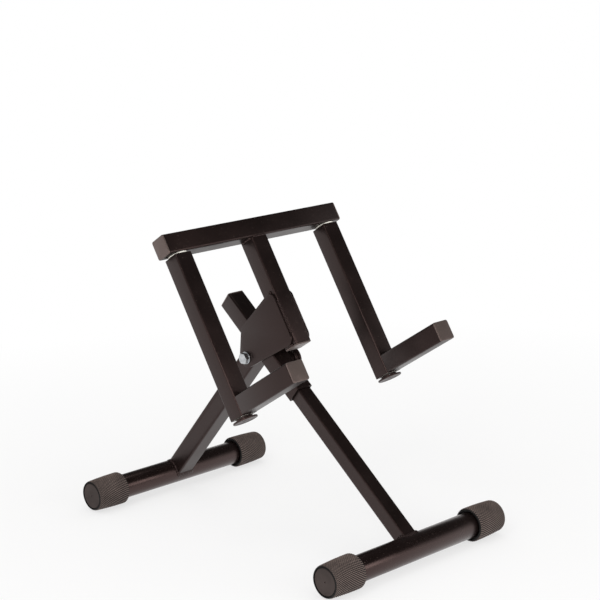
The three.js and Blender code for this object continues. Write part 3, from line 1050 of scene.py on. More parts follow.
@dataclass
class FootBar:
    """A round foot bar and its two ribbed rubber caps."""

    shop: Workshop
    prefix: str
    wall: float = 2.0
    saw_edge: float = 0.4
    steps: int = 96

    cap_end_radius: float = 19.8
    cap_mouth_radius: float = 21.4
    cap_end_round: float = 2.3
    cap_mouth_round: float = 3.0
    cap_mouth_ring: float = 3.0
    cap_mouth_recess: float = 3.6
    cap_wall: float = 5.0
    cap_fullness: float = 0.5
    cap_disc_radius: float = 16.4
    cap_disc_depth: float = 0.6
    cap_groove_width: float = 0.8
    cap_groove_depth: float = 1.5
    cap_dimple_radius: float = 1.0
    cap_dimple_depth: float = 1.6

    rib_count: int = 46
    rib_depth: float = 0.65
    cross_rib_depth: float = 0.25
    rib_angle: float = math.radians(34)
    rib_samples: int = 8
    ring_pitch: float = 0.62
    plain_margin: float = 0.8

    def build(self) -> None:
        """Builds the bar and both caps."""
        place = Matrix.Translation(box_centre(f"{self.prefix}_foot_bar")) @ Matrix.Scale(MM, 4)
        body = f"{self.prefix}_leg"
        self._bar(place, body)
        for side in Side:
            self._cap(side, place, body)

    def _bar(self, place: Matrix, body: str) -> None:
        """Builds the bar."""
        node = f"{self.prefix}_foot_bar"
        reach = Reach.of(node, place)
        outer = reach.size.z / 2
        bm = turned(ring_profile(outer, outer - self.wall, reach.low.x, reach.high.x), self.steps)
        ease(bm, self.saw_edge)
        bm.transform(Z_TO_X)
        self.shop.stand_in(node, bm, place, body, FOOT_COAT)

    def _cap_profile(self, length: float, bore: float) -> Profile:
        """The cap's profile, from the middle of its end face at z = 0 round to its bore.

        Args:
            length: The cap's length.
            bore: Radius of its bore.

        Returns:
            Radius and height pairs.
        """
        disc, groove = self.cap_disc_radius, self.cap_groove_width
        profile = [
            (0, self.cap_disc_depth + self.cap_dimple_depth),
            (self.cap_dimple_radius * 0.7, self.cap_disc_depth + self.cap_dimple_depth * 0.8),
            (self.cap_dimple_radius, self.cap_disc_depth + 0.15),
            (self.cap_dimple_radius + 0.2, self.cap_disc_depth),
            (disc * 0.5, self.cap_disc_depth),
            (disc - 0.3, self.cap_disc_depth),
            (disc, self.cap_disc_depth + 0.25),
            (disc + 0.15, self.cap_disc_depth + self.cap_groove_depth),
            (disc + groove, self.cap_disc_depth + self.cap_groove_depth),
            (disc + groove + 0.15, 0.35),
            (disc + groove + 0.5, 0),
        ]
        profile += arc(
            self.cap_end_radius - self.cap_end_round, self.cap_end_round, self.cap_end_round, -90, 0, 7)
        side = length - self.cap_end_round - self.cap_mouth_round
        count = round(side / self.ring_pitch)
        for ring in range(1, count):
            height = self.cap_end_round + side * ring / count
            profile.append((self._side_radius(height / length), height))
        profile += arc(
            self.cap_mouth_radius - self.cap_mouth_round, length - self.cap_mouth_round,
            self.cap_mouth_round, 0, 90, 6)
        lip = self.cap_mouth_radius - self.cap_mouth_ring
        profile += [
            (lip + 0.3, length),
            (lip, length - 0.3),
            (lip, length - self.cap_mouth_recess),
            (bore + 0.4, length - self.cap_mouth_recess),
            (bore, length - self.cap_mouth_recess - 0.4),
            (bore, self.cap_wall),
            (0, self.cap_wall),
        ]
        return profile

    def _side_radius(self, share: float) -> float:
        """The cap's radius at a share of its length, a little fuller than a straight taper."""
        straight = self.cap_end_radius + (self.cap_mouth_radius - self.cap_end_radius) * share
        return min(self.cap_mouth_radius, straight + self.cap_fullness * math.sin(math.pi * share))

    def _rib_height(self, angle: float, along: float, radius: float) -> tuple[float, float]:
        """Heights of the two crossing rib patterns at a place on the cap's side, each 0 to 1."""
        lead = along * math.tan(self.rib_angle) / radius
        steep = 0.5 + 0.5 * math.sin(self.rib_count * (angle - lead))
        crossing = 0.5 + 0.5 * math.sin(self.rib_count * (angle + lead))
        return steep, crossing

    def _cap(self, side: Side, bar_place: Matrix, body: str) -> None:
        """Builds a cap.

        Args:
            side: Which end of the bar it is on.
            bar_place: The bar's directions.
            body: The body that it moves with.
        """
        node = f"{self.prefix}_end_cap_{side.word}"
        reach = Reach.of(node, bar_place)
        bar = Reach.of(f"{self.prefix}_foot_bar", bar_place)
        bore = bar.size.z / 2 + 0.1
        length = reach.size.x
        bm = turned(self._cap_profile(length, bore), self.rib_count * self.rib_samples)
        relief = bm.verts.layers.float.new("relief")
        smooth_face = bm.verts.layers.float.new("smooth_face")
        outward = Matrix.Rotation(side.value * math.pi / 2, 4, "Y")
        end_x = reach.high.x if side is Side.RIGHT else reach.low.x
        # z = 0 is the outer end, so the drawn cap is turned to point from there to the bar
        bm.transform(Matrix.Translation((end_x, 0, 0)) @ outward @ Matrix.Rotation(math.pi, 4, "X"))
        bmesh.ops.recalc_face_normals(bm, faces=bm.faces[:])
        for vert in bm.verts:
            radius = math.hypot(vert.co.y, vert.co.z)
            depth = abs(vert.co.x - end_x)
            if radius < self.cap_disc_radius + 0.1 and depth < 3:
                vert[smooth_face] = 1.0
            # Points nearer the axis keep relief 0 and take the dark groove colour: painted shade in the end
            # face's groove ring, the mouth recess and the bore.
            if radius < self.cap_end_radius - 0.9:
                continue
            # Relief fades to 0 near both ends, so the rims take the dark groove colour too: painted shade.
            edge = min(depth, length - depth)
            strength = max(0.0, min(1.0, (edge - self.plain_margin / 2) / self.plain_margin))
            angle = math.atan2(vert.co.z, vert.co.y)
            steep, crossing = self._rib_height(angle, vert.co.x, radius)
            lowered = strength * (self.rib_depth * (1 - steep) + self.cross_rib_depth * (1 - crossing))
            shrink = (radius - lowered) / radius
            vert.co.y *= shrink
            vert.co.z *= shrink
            vert[relief] = strength * (1 - lowered / (self.rib_depth + self.cross_rib_depth))
        self.shop.stand_in(node, bm, bar_place, body, CAP_RUBBER)


# ---------------------------------------------------------------- legs

LEG_STOCK = SquareStock(size=20.0, wall=1.5, corner=2.0)
TUBE_STOCK = SquareStock(size=25.0, wall=2.0, corner=2.4)
ARM_STOCK = SquareStock(size=25.0, wall=2.0, corner=2.4, saw_edge=0.6)


@dataclass
class FrontLeg:
    """The leg that slides in the sleeve, welded on the front foot bar."""

    shop: Workshop
    weld: WeldBead = field(default_factory=lambda: WeldBead(radius=2.3))
    weld_seat: float = 0.1

    def build(self) -> None:
        """Builds the tube, its guide plug and its weld."""
        place = self.shop.places.front_leg
        bar_radius = Reach.of("front_foot_bar", place).size.z / 2
        leg = Reach.of("front_leg_tube", place)
        tube = LEG_STOCK.coped_length(bar_radius + self.weld_seat, leg.high.z)
        self.shop.stand_in("front_leg_tube", tube, place, "front_leg", TUBE_COAT)
        bead = self.weld.round_leg(LEG_STOCK.size, LEG_STOCK.corner, bar_radius)
        self.shop.piece("front_leg_weld", bead, place, "front_leg", WELD_COAT)
        flange_foot = Reach.of("front_leg_plug", place).high.z - SquarePlug.flange
        seat = Matrix.Translation((0, 0, flange_foot))
        self.shop.plug("front_leg_plug", LEG_STOCK, seat, place, "front_leg")


@dataclass
class Sleeve:
    """The sleeve that the front leg slides in, with its plug and its clamp."""

    shop: Workshop
    boss_edge: float = 0.6
    boss_hole: float = 4.3
    bore_side: float = 2.0
    weld: WeldBead = field(default_factory=lambda: WeldBead(radius=1.3, pitch=1.8))

    def build(self) -> None:
        """Builds the sleeve, its plug, the clamp boss and the clamp."""
        place = self.shop.places.front_leg
        sleeve = Reach.of("leg_sleeve", place)
        boss = Reach.of("clamp_boss", place)
        middle = boss.centre.z
        hole = rod(self.boss_hole, Vector((self.bore_side, 0, middle)), Vector((TUBE_STOCK.size, 0, middle)))
        tube = drilled(TUBE_STOCK.cut_length(sleeve.low.z, sleeve.high.z), hole)
        self.shop.stand_in("leg_sleeve", tube, place, "frame", TUBE_COAT)

        flange_foot = Reach.of("sleeve_end_plug", place).high.z - SquarePlug.flange
        seat = Matrix.Translation((0, 0, flange_foot))
        self.shop.plug("sleeve_end_plug", TUBE_STOCK, seat, place, "frame")

        outer = boss.size.z / 2
        sideways = Matrix.Translation((0, 0, middle)) @ Z_TO_X
        ring = turned(ring_profile(outer, self.boss_hole, boss.low.x, boss.high.x), 64)
        ease(ring, self.boss_edge, chosen=lambda edge: edge.verts[0].co.z > boss.centre.x)
        ring.transform(sideways)
        self.shop.stand_in("clamp_boss", ring, place, "frame", TUBE_COAT)
        bead = self.weld.round_boss(outer, boss.low.x)
        bead.transform(sideways)
        self.shop.piece("clamp_boss_weld", bead, place, "frame", WELD_COAT)

        knob = Reach.of("leg_clamp_knob", place)
        screw = Reach.of("leg_clamp_screw", place)
        turned_in = Matrix.Translation((knob.low.x, 0, middle)) @ Z_TO_X
        reach = knob.low.x - screw.low.x
        Knob(self.shop, "leg_clamp", reach=reach, set_screw_angle=-2.0).build(place @ turned_in)


@dataclass
class RearLeg:
    """The folding leg, welded on the rear foot bar and hinged to the frame."""

    shop: Workshop
    bush_edge: float = 0.35
    bush_radius: float = 6.0
    bush_bore: float = 4.3
    fit: float = 0.15
    weld: WeldBead = field(default_factory=lambda: WeldBead(radius=2.1))
    weld_seat: float = 0.1

    def build(self) -> None:
        """Builds the tube, its weld and the bush through it."""
        place = self.shop.places.rear_leg
        bar_radius = Reach.of("rear_foot_bar", place).size.z / 2
        bush = Reach.of("rear_leg_bush", place)
        leg = Reach.of("rear_leg_tube", place)
        bolt_height = bush.centre.z
        half = TUBE_STOCK.size / 2
        across = Vector((TUBE_STOCK.size, 0, 0))
        middle = Vector((0, 0, bolt_height))
        tube = TUBE_STOCK.coped_length(bar_radius + self.weld_seat, leg.high.z)
        hole = rod(self.bush_radius + self.fit, middle - across, middle + across)
        tube = drilled(tube, hole, self._corner_waste(half, bolt_height))
        self.shop.stand_in("rear_leg_tube", tube, place, "rear_leg", TUBE_COAT)

        bead = self.weld.round_leg(TUBE_STOCK.size, TUBE_STOCK.corner, bar_radius)
        self.shop.piece("rear_leg_weld", bead, place, "rear_leg", WELD_COAT)

        sleeve = turned(ring_profile(self.bush_radius, self.bush_bore, bush.low.x, bush.high.x), 48)
        ease(sleeve, self.bush_edge)
        sleeve.transform(Matrix.Translation((0, 0, bolt_height)) @ Z_TO_X)
        self.shop.stand_in("rear_leg_bush", sleeve, place, "rear_leg", ZINC_PLATE)

    @staticmethod
    def _corner_waste(half: float, bolt_height: float) -> BMesh:
        """What is milled off the leg's end to round its front corner about the bolt."""
        bm = bmesh.new()
        bmesh.ops.create_cube(bm, size=1)
        bmesh.ops.scale(bm, verts=bm.verts[:], vec=(6 * half, 2 * half, 2 * half))
        bmesh.ops.translate(bm, verts=bm.verts[:], vec=(0, -half, bolt_height + half))
        across = Vector((4 * half, 0, 0))
        middle = Vector((0, 0, bolt_height))
        return drilled(bm, rod(half, middle - across, middle + across, steps=96))


# ---------------------------------------------------------------- clamp knobs and fasteners

@dataclass
class Knob:
    """A clamp's disc knob and its screw; the hub's face is at z = 0 and the screw runs down from it."""

    shop: Workshop
    prefix: str
    reach: float
    set_screw_angle: float
    hub_radius: float = 10.5
    hub: float = 2.6
    disc_radius: float = 15.7
    disc: float = 2.5
    disc_edge: float = 0.9
    thread_radius: float = 4.0
    thread_gap: float = 0.3
    hub_edge: float = 0.5
    hub_fillet: float = 0.4
    dish_depth: float = 0.35
    dish_rim: float = 0.72
    dish_wall: float = 0.68
    dish_boss_foot: float = 0.3
    dish_boss: float = 0.26
    set_screw_radius: float = 0.75
    set_screw_length: float = 2.0

    def build(self, place: Matrix) -> None:
        """Builds the knob, its set screw and the clamping screw.

        Args:
            place: From the knob's millimetres to its place.
        """
        body = self.prefix
        socket = self.thread_radius + self.thread_gap
        top = self.hub + self.disc
        wide, edge, easing = self.disc_radius, self.disc_edge, self.disc_edge * 0.3
        hub, dished = self.hub_radius, top - self.dish_depth
        profile = [
            (0, self.hub), (socket, self.hub), (socket, self.thread_gap), (socket + self.thread_gap, 0),
            (hub - self.hub_edge, 0), (hub, self.hub_edge), (hub, self.hub - self.hub_fillet),
            (hub + self.hub_fillet, self.hub),
            (wide - edge, self.hub), (wide - easing, self.hub + easing), (wide, self.hub + edge),
            (wide, top - edge), (wide - easing, top - easing), (wide - edge, top),
            (wide * self.dish_rim, top), (wide * self.dish_wall, dished),
            (wide * self.dish_boss_foot, dished), (wide * self.dish_boss, top), (0, top),
        ]
        self.shop.stand_in(f"{self.prefix}_knob", turned(profile, 96), place, body, KNOB_PLASTIC)
        self.shop.stand_in(f"{self.prefix}_screw", self._screw(), place, body, ZINC_PLATE)
        self.shop.piece(f"{self.prefix}_set_screw", self._set_screw(), place, body, ZINC_PLATE)

    def _screw(self) -> BMesh:
        """The clamping screw with its thread."""
        return threaded_rod(self.thread_radius, -self.reach, self.hub - self.thread_gap)

    def _set_screw(self) -> BMesh:
        """A small socket set screw in the hub's side."""
        radius = self.set_screw_radius
        inner = -self.set_screw_length
        bm = turned([
            (0, inner), (radius, inner), (radius, 0.15), (radius - 0.2, 0.35), (radius * 0.5, 0.35),
            (radius * 0.45, -0.3), (0, -0.3),
        ], 24)
        outward = Vector((math.cos(self.set_screw_angle), math.sin(self.set_screw_angle), 0))
        bm.transform(aimed(outward * self.hub_radius + Vector((0, 0, self.hub / 2)), outward))
        return bm


def threaded_rod(radius: float, low: float, high: float, pitch: float = 1.25, depth: float = 0.38) -> BMesh:
    """A rod along z with a screw thread cut in it.

    Args:
        radius: Radius over the thread.
        low: Height of its lower end.
        high: Height of its upper end.
        pitch: The thread's pitch.
        depth: The thread's depth.

    Returns:
        The mesh.
    """
    samples = 8
    steps = 32
    count = round((high - low) / pitch * samples)
    profile = [(0.0, low)]
    profile += [(radius, low + (high - low) * step / count) for step in range(count + 1)]
    profile.append((0.0, high))
    bm = turned(profile, steps)
    for vert in bm.verts:
        reach = math.hypot(vert.co.x, vert.co.y)
        if reach < radius / 2:
            continue
        turns = vert.co.z / pitch - math.atan2(vert.co.y, vert.co.x) / FULL_TURN
        groove = abs(2 * (turns % 1) - 1)
        end = min(vert.co.z - low, high - vert.co.z)
        taper = max(0.0, 0.8 - end)
        shrink = (reach - depth * groove - taper) / reach
        vert.co.x *= shrink
        vert.co.y *= shrink
    return bm


@dataclass
class Hinge:
    """The two plates that join the sleeve and the spine, and the bolt that the rear leg folds on."""

    shop: Workshop
    hex_flats: float = 13.0
    plate_edge: float = 0.4
    bolt_hole: float = 4.3
    corner_margin: float = 10.0
    sleeve_radius: float = 11.0
    corner_along_sleeve: float = 20.0
    bolt_radius: float = 13.0
    washer_edge: float = 0.25
    short_weld: tuple[float, float] = (4.0, 10.0)
    weld_lift: float = 0.4
    weld_offset: float = 0.5
    weld_margin: float = 12.0
    nut_bore: float = 4.05
    nut_collar: float = 1.8
    weld: WeldBead = field(default_factory=lambda: WeldBead(radius=1.5, pitch=2.0))

    def build(self) -> None:
        """Builds the plates with their welds, the washers, the bolt and the nut."""
        place = self.shop.places.cradle
        bolt = self._bolt_axis(place)
        for side in Side:
            self._plate(side, place, bolt)
            self._washer(side, place, bolt)
        self._bolt(place, bolt)
        self._nut(place, bolt)

    @staticmethod
    def _bolt_axis(place: Matrix) -> Vector:
        """Where the bolt's axis crosses the middle plane, in the cradle's directions."""
        return place.inverted() @ Vector(joint("rear_leg_fold")["pos_m"])

    def _plate(self, side: Side, place: Matrix, bolt: Vector) -> None:
        """Builds a plate that rolls round four discs, and its welds."""
        node = f"hinge_plate_{side.word}"
        plate = Reach.of(node, place)
        spine = plate.low.y + self.corner_margin
        sleeve = self._sleeve_corner(place)
        discs = [
            (spine, plate.low.z + self.corner_margin, self.corner_margin),
            (bolt.y, bolt.z, self.bolt_radius),
            (sleeve.y, sleeve.z, self.sleeve_radius),
            (spine, plate.high.z - self.corner_margin, self.corner_margin),
        ]
        bm = bmesh.new()
        for y, z, radius in discs:
            for x in (plate.low.x, plate.high.x):
                seat = Matrix.Translation((x, y, z)) @ Z_TO_X
                bmesh.ops.create_circle(bm, cap_ends=False, segments=72, radius=radius, matrix=seat)
        hull = bmesh.ops.convex_hull(bm, input=bm.verts[:])
        loose = [item for item in hull["geom_interior"] + hull["geom_unused"] if isinstance(item, BMVert)]
        bmesh.ops.delete(bm, geom=list(set(loose)), context="VERTS")
        bmesh.ops.dissolve_limit(bm, angle_limit=math.radians(0.5), verts=bm.verts[:], edges=bm.edges[:])
        ease(tidy(bm), self.plate_edge)
        across = Vector((2 * plate.size.x, 0, 0))
        middle = Vector((plate.centre.x, bolt.y, bolt.z))
        hole = rod(self.bolt_hole, middle - across, middle + across)
        self.shop.stand_in(node, drilled(bm, hole), place, "frame", TUBE_COAT)
        self._plate_welds(side, place, plate)

    def _sleeve_corner(self, place: Matrix) -> Vector:
        """Centre of the plate's corner on the sleeve, in the cradle's directions."""
        front, rear = self.shop.places.front_leg, self.shop.places.rear_leg
        up = Vector((0, 0, 100))
        crossing, _ = intersect_line_line(front @ Vector(), front @ up, rear @ Vector(), rear @ up)
        along = front.to_3x3() @ Vector((0, 0, self.corner_along_sleeve))
        return place.inverted() @ (crossing + along)

    def _plate_welds(self, side: Side, place: Matrix, plate: Reach) -> None:
        """Lays the beads along a plate's upper and lower edges on the spine."""
        x = side.value * (TUBE_STOCK.size / 2 + 0.3)
        first, last = plate.low.y + self.short_weld[0], plate.low.y + self.short_weld[1]
        behind = plate.low.y - self.weld_offset
        runs = [
            (Vector((x, first, z)), Vector((x, last, z)))
            for z in (plate.high.z + self.weld_lift, plate.low.z - self.weld_lift)
        ]
        runs.append((Vector((x, behind, plate.low.z + self.weld_margin)),
                     Vector((x, behind, plate.high.z - self.weld_margin))))
        beads = [self.weld.straight(start, end, seed=index) for index, (start, end) in enumerate(runs)]
        self.shop.piece(f"hinge_plate_weld_{side.word}", joined(*beads), place, "frame", WELD_COAT)

    def _washer(self, side: Side, place: Matrix, bolt: Vector) -> None:
        """Builds a washer."""
        node = f"hinge_washer_{side.word}"
        washer = Reach.of(node, place)
        bm = turned(ring_profile(washer.size.z / 2, self.bolt_hole, washer.low.x, washer.high.x), 64)
        ease(bm, self.washer_edge)
        self._across(bm, bolt)
        self.shop.stand_in(node, bm, place, "frame", ZINC_PLATE)

    @staticmethod
    def _across(bm: BMesh, bolt: Vector) -> None:
        """Turns a body drawn along z to lie along the bolt."""
        bm.transform(Matrix.Translation((0, bolt.y, bolt.z)) @ Z_TO_X)

    def _hex(self, low: float, high: float, bore: float, domed_low: bool, domed_high: bool) -> BMesh:
        """A hexagon along z with its corners turned off.

        Args:
            low: Height of its lower face.
            high: Height of its upper face.
            bore: Radius of its bore, or 0.
            domed_low: Whether the lower corners are turned off.
            domed_high: Whether the upper corners are turned off.

        Returns:
            The mesh.
        """
        crown = self.hex_flats / 2 * 0.95
        wide = self.hex_flats / 2 * 1.05
        profile = [(bore, low), (crown, low), (wide, low), (wide, high), (crown, high), (bore, high)]
        if bore:
            profile.append((bore, low))
        bm = turned(profile, 96)
        stretch_to(bm, wide, outline_hexagon(self.hex_flats / 2), beyond=crown + 0.05)
        for vert in bm.verts:
            beyond = math.hypot(vert.co.x, vert.co.y) - crown
            if beyond <= 0.01:
                continue
            drop = beyond * math.tan(math.radians(30))
            if vert.co.z > (low + high) / 2:
                vert.co.z -= drop if domed_high else 0
            else:
                vert.co.z += drop if domed_low else 0
        return bm

    def _bolt(self, place: Matrix, bolt: Vector) -> None:
        """Builds the bolt: head and threaded shank."""
        whole = Reach.of("hinge_bolt", place)
        washer = Reach.of("hinge_washer_left", place)
        face = washer.low.x - 0.05
        head = self._hex(whole.low.x, face, 0, domed_low=True, domed_high=False)
        shank = threaded_rod(4.0, face - 0.5, whole.high.x)
        bm = joined(head, shank)
        self._across(bm, bolt)
        self.shop.stand_in("hinge_bolt", bm, place, "frame", ZINC_PLATE)

    def _nut(self, place: Matrix, bolt: Vector) -> None:
        """Builds the nut with its nylon ring's collar."""
        nut = Reach.of("hinge_nut", place)
        bore, top = self.nut_bore, nut.high.x
        seat = top - self.nut_collar
        body = self._hex(nut.low.x, seat, bore, domed_low=True, domed_high=True)
        ring = turned([
            (bore, seat - 0.4), (6.0, seat - 0.4), (5.9, top - 0.8), (5.3, top), (4.6, top),
            (bore, top - 0.5), (bore, seat - 0.4),
        ], 64)
        bm = joined(body, ring)
        self._across(bm, bolt)
        self.shop.stand_in("hinge_nut", bm, place, "frame", ZINC_PLATE)


# ---------------------------------------------------------------- cradle

@dataclass
class CradleFrame:
    """Cross tube, spine and the two posts that the brackets turn on."""

    shop: Workshop
    post_radius: float = 8.0
    post_bore: float = 6.0
    post_hole: float = 8.3
    screw_hole: float = 4.3
    insert_length: float = 26.0
    post_edge: float = 0.4
    washer_edge: float = 0.3
    weld_drop: float = 0.3
    weld_rise: float = 0.2
    weld_inset: float = 1.2
    weld: WeldBead = field(default_factory=lambda: WeldBead(radius=1.6, pitch=2.2))

    def build(self) -> None:
        """Builds the frame's tubes, plugs, posts, washers and welds."""
        place = self.shop.places.cradle
        cross = Reach.of("cross_tube", place)
        self._spine(place, cross)
        self._cross_tube(place, cross)
        for side in Side:
            self._post(side)

    def _spine(self, place: Matrix, cross: Reach) -> None:
        """Builds the spine, its plug and its weld under the cross tube."""
        spine = Reach.of("spine_tube", place)
        bm = TUBE_STOCK.cut_length(spine.low.z, spine.high.z)
        self.shop.stand_in("spine_tube", bm, place, "frame", TUBE_COAT)
        plug = Reach.of("spine_end_plug", place)
        foot = plug.low.z + SquarePlug.flange
        seat = Matrix.Translation((0, 0, foot)) @ Matrix.Rotation(math.pi, 4, "X")
        self.shop.plug("spine_end_plug", TUBE_STOCK, seat, place, "frame")
        half = TUBE_STOCK.size / 2
        flat = half - TUBE_STOCK.corner
        below, within = cross.low.z - self.weld_drop, cross.low.z + self.weld_rise
        groove = half - self.weld_inset
        runs = [(Vector((x, -flat, below)), Vector((x, flat, below))) for x in (-half, half)]
        runs += [(Vector((-flat, y, within)), Vector((flat, y, within))) for y in (-groove, groove)]
        beads = [self.weld.straight(start, end, seed=index) for index, (start, end) in enumerate(runs)]
        self.shop.piece("spine_weld", joined(*beads), place, "frame", WELD_COAT)

    def _cross_tube(self, place: Matrix, cross: Reach) -> None:
        """Builds the cross tube with the holes for its posts, and its end plugs."""
        sideways = Matrix.Translation((0, 0, cross.centre.z)) @ Z_TO_X
        tube = TUBE_STOCK.cut_length(cross.low.x, cross.high.x)
        tube.transform(sideways)
        bracket_x = self.shop.places.bracket_x
        holes = [
            rod(self.post_hole - 0.2, Vector((side.value * bracket_x, 0, cross.low.z - 5)),
                Vector((side.value * bracket_x, 0, cross.centre.z)))
            for side in Side
        ]
        self.shop.stand_in("cross_tube", drilled(tube, *holes), place, "frame", TUBE_COAT)
        for side in Side:
            node = f"cross_tube_plug_{side.word}"
            plug = Reach.of(node, place)
            outer = plug.high.x if side is Side.RIGHT else plug.low.x
            foot = outer - side.value * SquarePlug.flange
            turn = Matrix.Rotation(side.value * math.pi / 2, 4, "Y")
            seat = Matrix.Translation((foot, 0, cross.centre.z)) @ turn
            self.shop.plug(node, TUBE_STOCK, seat, place, "frame")

    def _post(self, side: Side) -> None:
        """Builds a post and the washer between its bracket and the cross tube."""
        place = self.shop.places.bracket(side)
        post = Reach.of(f"post_{side.word}", place)
        insert_top = post.low.z + self.insert_length
        edge, foot, top = self.post_edge, post.low.z, post.high.z
        bm = turned([
            (self.screw_hole + edge, foot), (self.post_radius - edge, foot), (self.post_radius, foot + edge),
            (self.post_radius, top), (self.post_bore, top), (self.post_bore, insert_top),
            (self.screw_hole, insert_top), (self.screw_hole, foot + edge), (self.screw_hole + edge, foot),
        ], 64)
        self.shop.stand_in(f"post_{side.word}", bm, place, "frame", TUBE_COAT)
        node = f"post_washer_{side.word}"
        washer = Reach.of(node, place)
        ring = turned(ring_profile(washer.size.x / 2, self.post_hole, washer.low.z, washer.high.z), 72)
        self.shop.stand_in(node, ease(ring, self.washer_edge), place, "frame", BUSH_NYLON)


@dataclass
class Bracket:
    """An L-shaped support: an upright that turns on its post, and the arm welded to its foot."""

    shop: Workshop
    side: Side
    set_screw_angle: float
    bush_bore: float = 8.3
    bush_corner: float = 1.6
    weld: WeldBead = field(default_factory=lambda: WeldBead(radius=0.9, pitch=1.8))
    root_gap: float = 0.4
    weld_inset: float = 2.1
    side_depth: float = 0.5
    side_start: float = 1.5
    side_weld: float = 9.0
    under_depth: float = 0.2
    under_rise: float = 1.2
    under_margin: float = 2.0

    def build(self) -> None:
        """Builds the tubes, the weld between them, the plug, the bushes and the clamp knob."""
        word = self.side.word
        body = f"bracket_{word}"
        place = self.shop.places.bracket(self.side)
        upright = Reach.of(f"upright_{word}", place)
        bm = TUBE_STOCK.cut_length(upright.low.z, upright.high.z)
        self.shop.stand_in(f"upright_{word}", bm, place, body, TUBE_COAT)

        arm = Reach.of(f"arm_{word}", place)
        forward = Matrix.Translation((0, 0, arm.centre.z)) @ Z_TO_FRONT
        bm = ARM_STOCK.cut_length(-arm.high.y + self.root_gap, -arm.low.y)
        bm.transform(forward)
        self.shop.stand_in(f"arm_{word}", bm, place, body, TUBE_COAT)

        plug = Reach.of(f"arm_plug_{word}", place)
        seat = forward @ Matrix.Translation((0, 0, -plug.low.y - SquarePlug.flange))
        self.shop.plug(f"arm_plug_{word}", TUBE_STOCK, seat, place, body)

        self._weld(place, body, upright, arm)
        for level in ("lower", "upper"):
            self._bush(f"{level}_bush_{word}", place, body)
        self._knob(word, place)

    def _weld(self, place: Matrix, body: str, upright: Reach, arm: Reach) -> None:
        """Lays the bead in the grooves where the arm meets the upright's rounded corners."""
        inset = TUBE_STOCK.size / 2 - self.weld_inset
        y = upright.low.y + self.side_depth
        low, high = arm.low.z + self.side_start, arm.low.z + self.side_weld
        runs = [(Vector((x, y, low)), Vector((x, y, high))) for x in (-inset, inset)]
        reach = inset - self.under_margin
        y, low = upright.low.y + self.under_depth, arm.low.z + self.under_rise
        runs.append((Vector((-reach, y, low)), Vector((reach, y, low))))
        beads = [self.weld.straight(start, end, seed=index) for index, (start, end) in enumerate(runs)]
        self.shop.piece(f"arm_weld_{self.side.word}", joined(*beads), place, body, WELD_COAT)

    def _bush(self, node: str, place: Matrix, body: str) -> None:
        """Builds a square bush with a round bore."""
        bush = Reach.of(node, place)
        outer = bush.size.x / 2
        bm = turned(ring_profile(outer, self.bush_bore, bush.low.z, bush.high.z), 96)
        stretch_to(bm, outer, outline_square(outer, self.bush_corner), beyond=self.bush_bore + 0.5)
        self.shop.stand_in(node, ease(bm, 0.25), place, body, BUSH_NYLON)

    def _knob(self, word: str, place: Matrix) -> None:
        """Builds the knob that clamps the bracket on its post."""
        prefix = f"bracket_clamp_{word}"
        knob = Reach.of(f"{prefix}_knob", place)
        screw = Reach.of(f"{prefix}_screw", place)
        down = Matrix.Translation((0, 0, knob.high.z)) @ Matrix.Rotation(math.pi, 4, "X")
        reach = screw.high.z - knob.high.z
        Knob(self.shop, prefix, reach=reach, set_screw_angle=self.set_screw_angle).build(place @ down)


# ---------------------------------------------------------------- studio

@dataclass(frozen=True)
class SoftLamp:
    """A large soft lamp that points at the stand."""

    name: str
    place: tuple[float, float, float]
    width: float
    height: float
    watts: float
    color: tuple[float, float, float] = (1.0, 0.98, 0.96)

    def build(self, target: Vector) -> None:
        """Hangs the lamp.

        Args:
            target: The point that it shines at.
        """
        lamp = bpy.data.lights.new(self.name, "AREA")
        lamp.shape = "RECTANGLE"
        lamp.size = self.width
        lamp.size_y = self.height
        lamp.energy = self.watts
        lamp.color = self.color
        hung = bpy.data.objects.new(self.name, lamp)
        bpy.context.scene.collection.objects.link(hung)
        hung.location = self.place
        hung.rotation_euler = (target - Vector(self.place)).to_track_quat("-Z", "Y").to_euler()


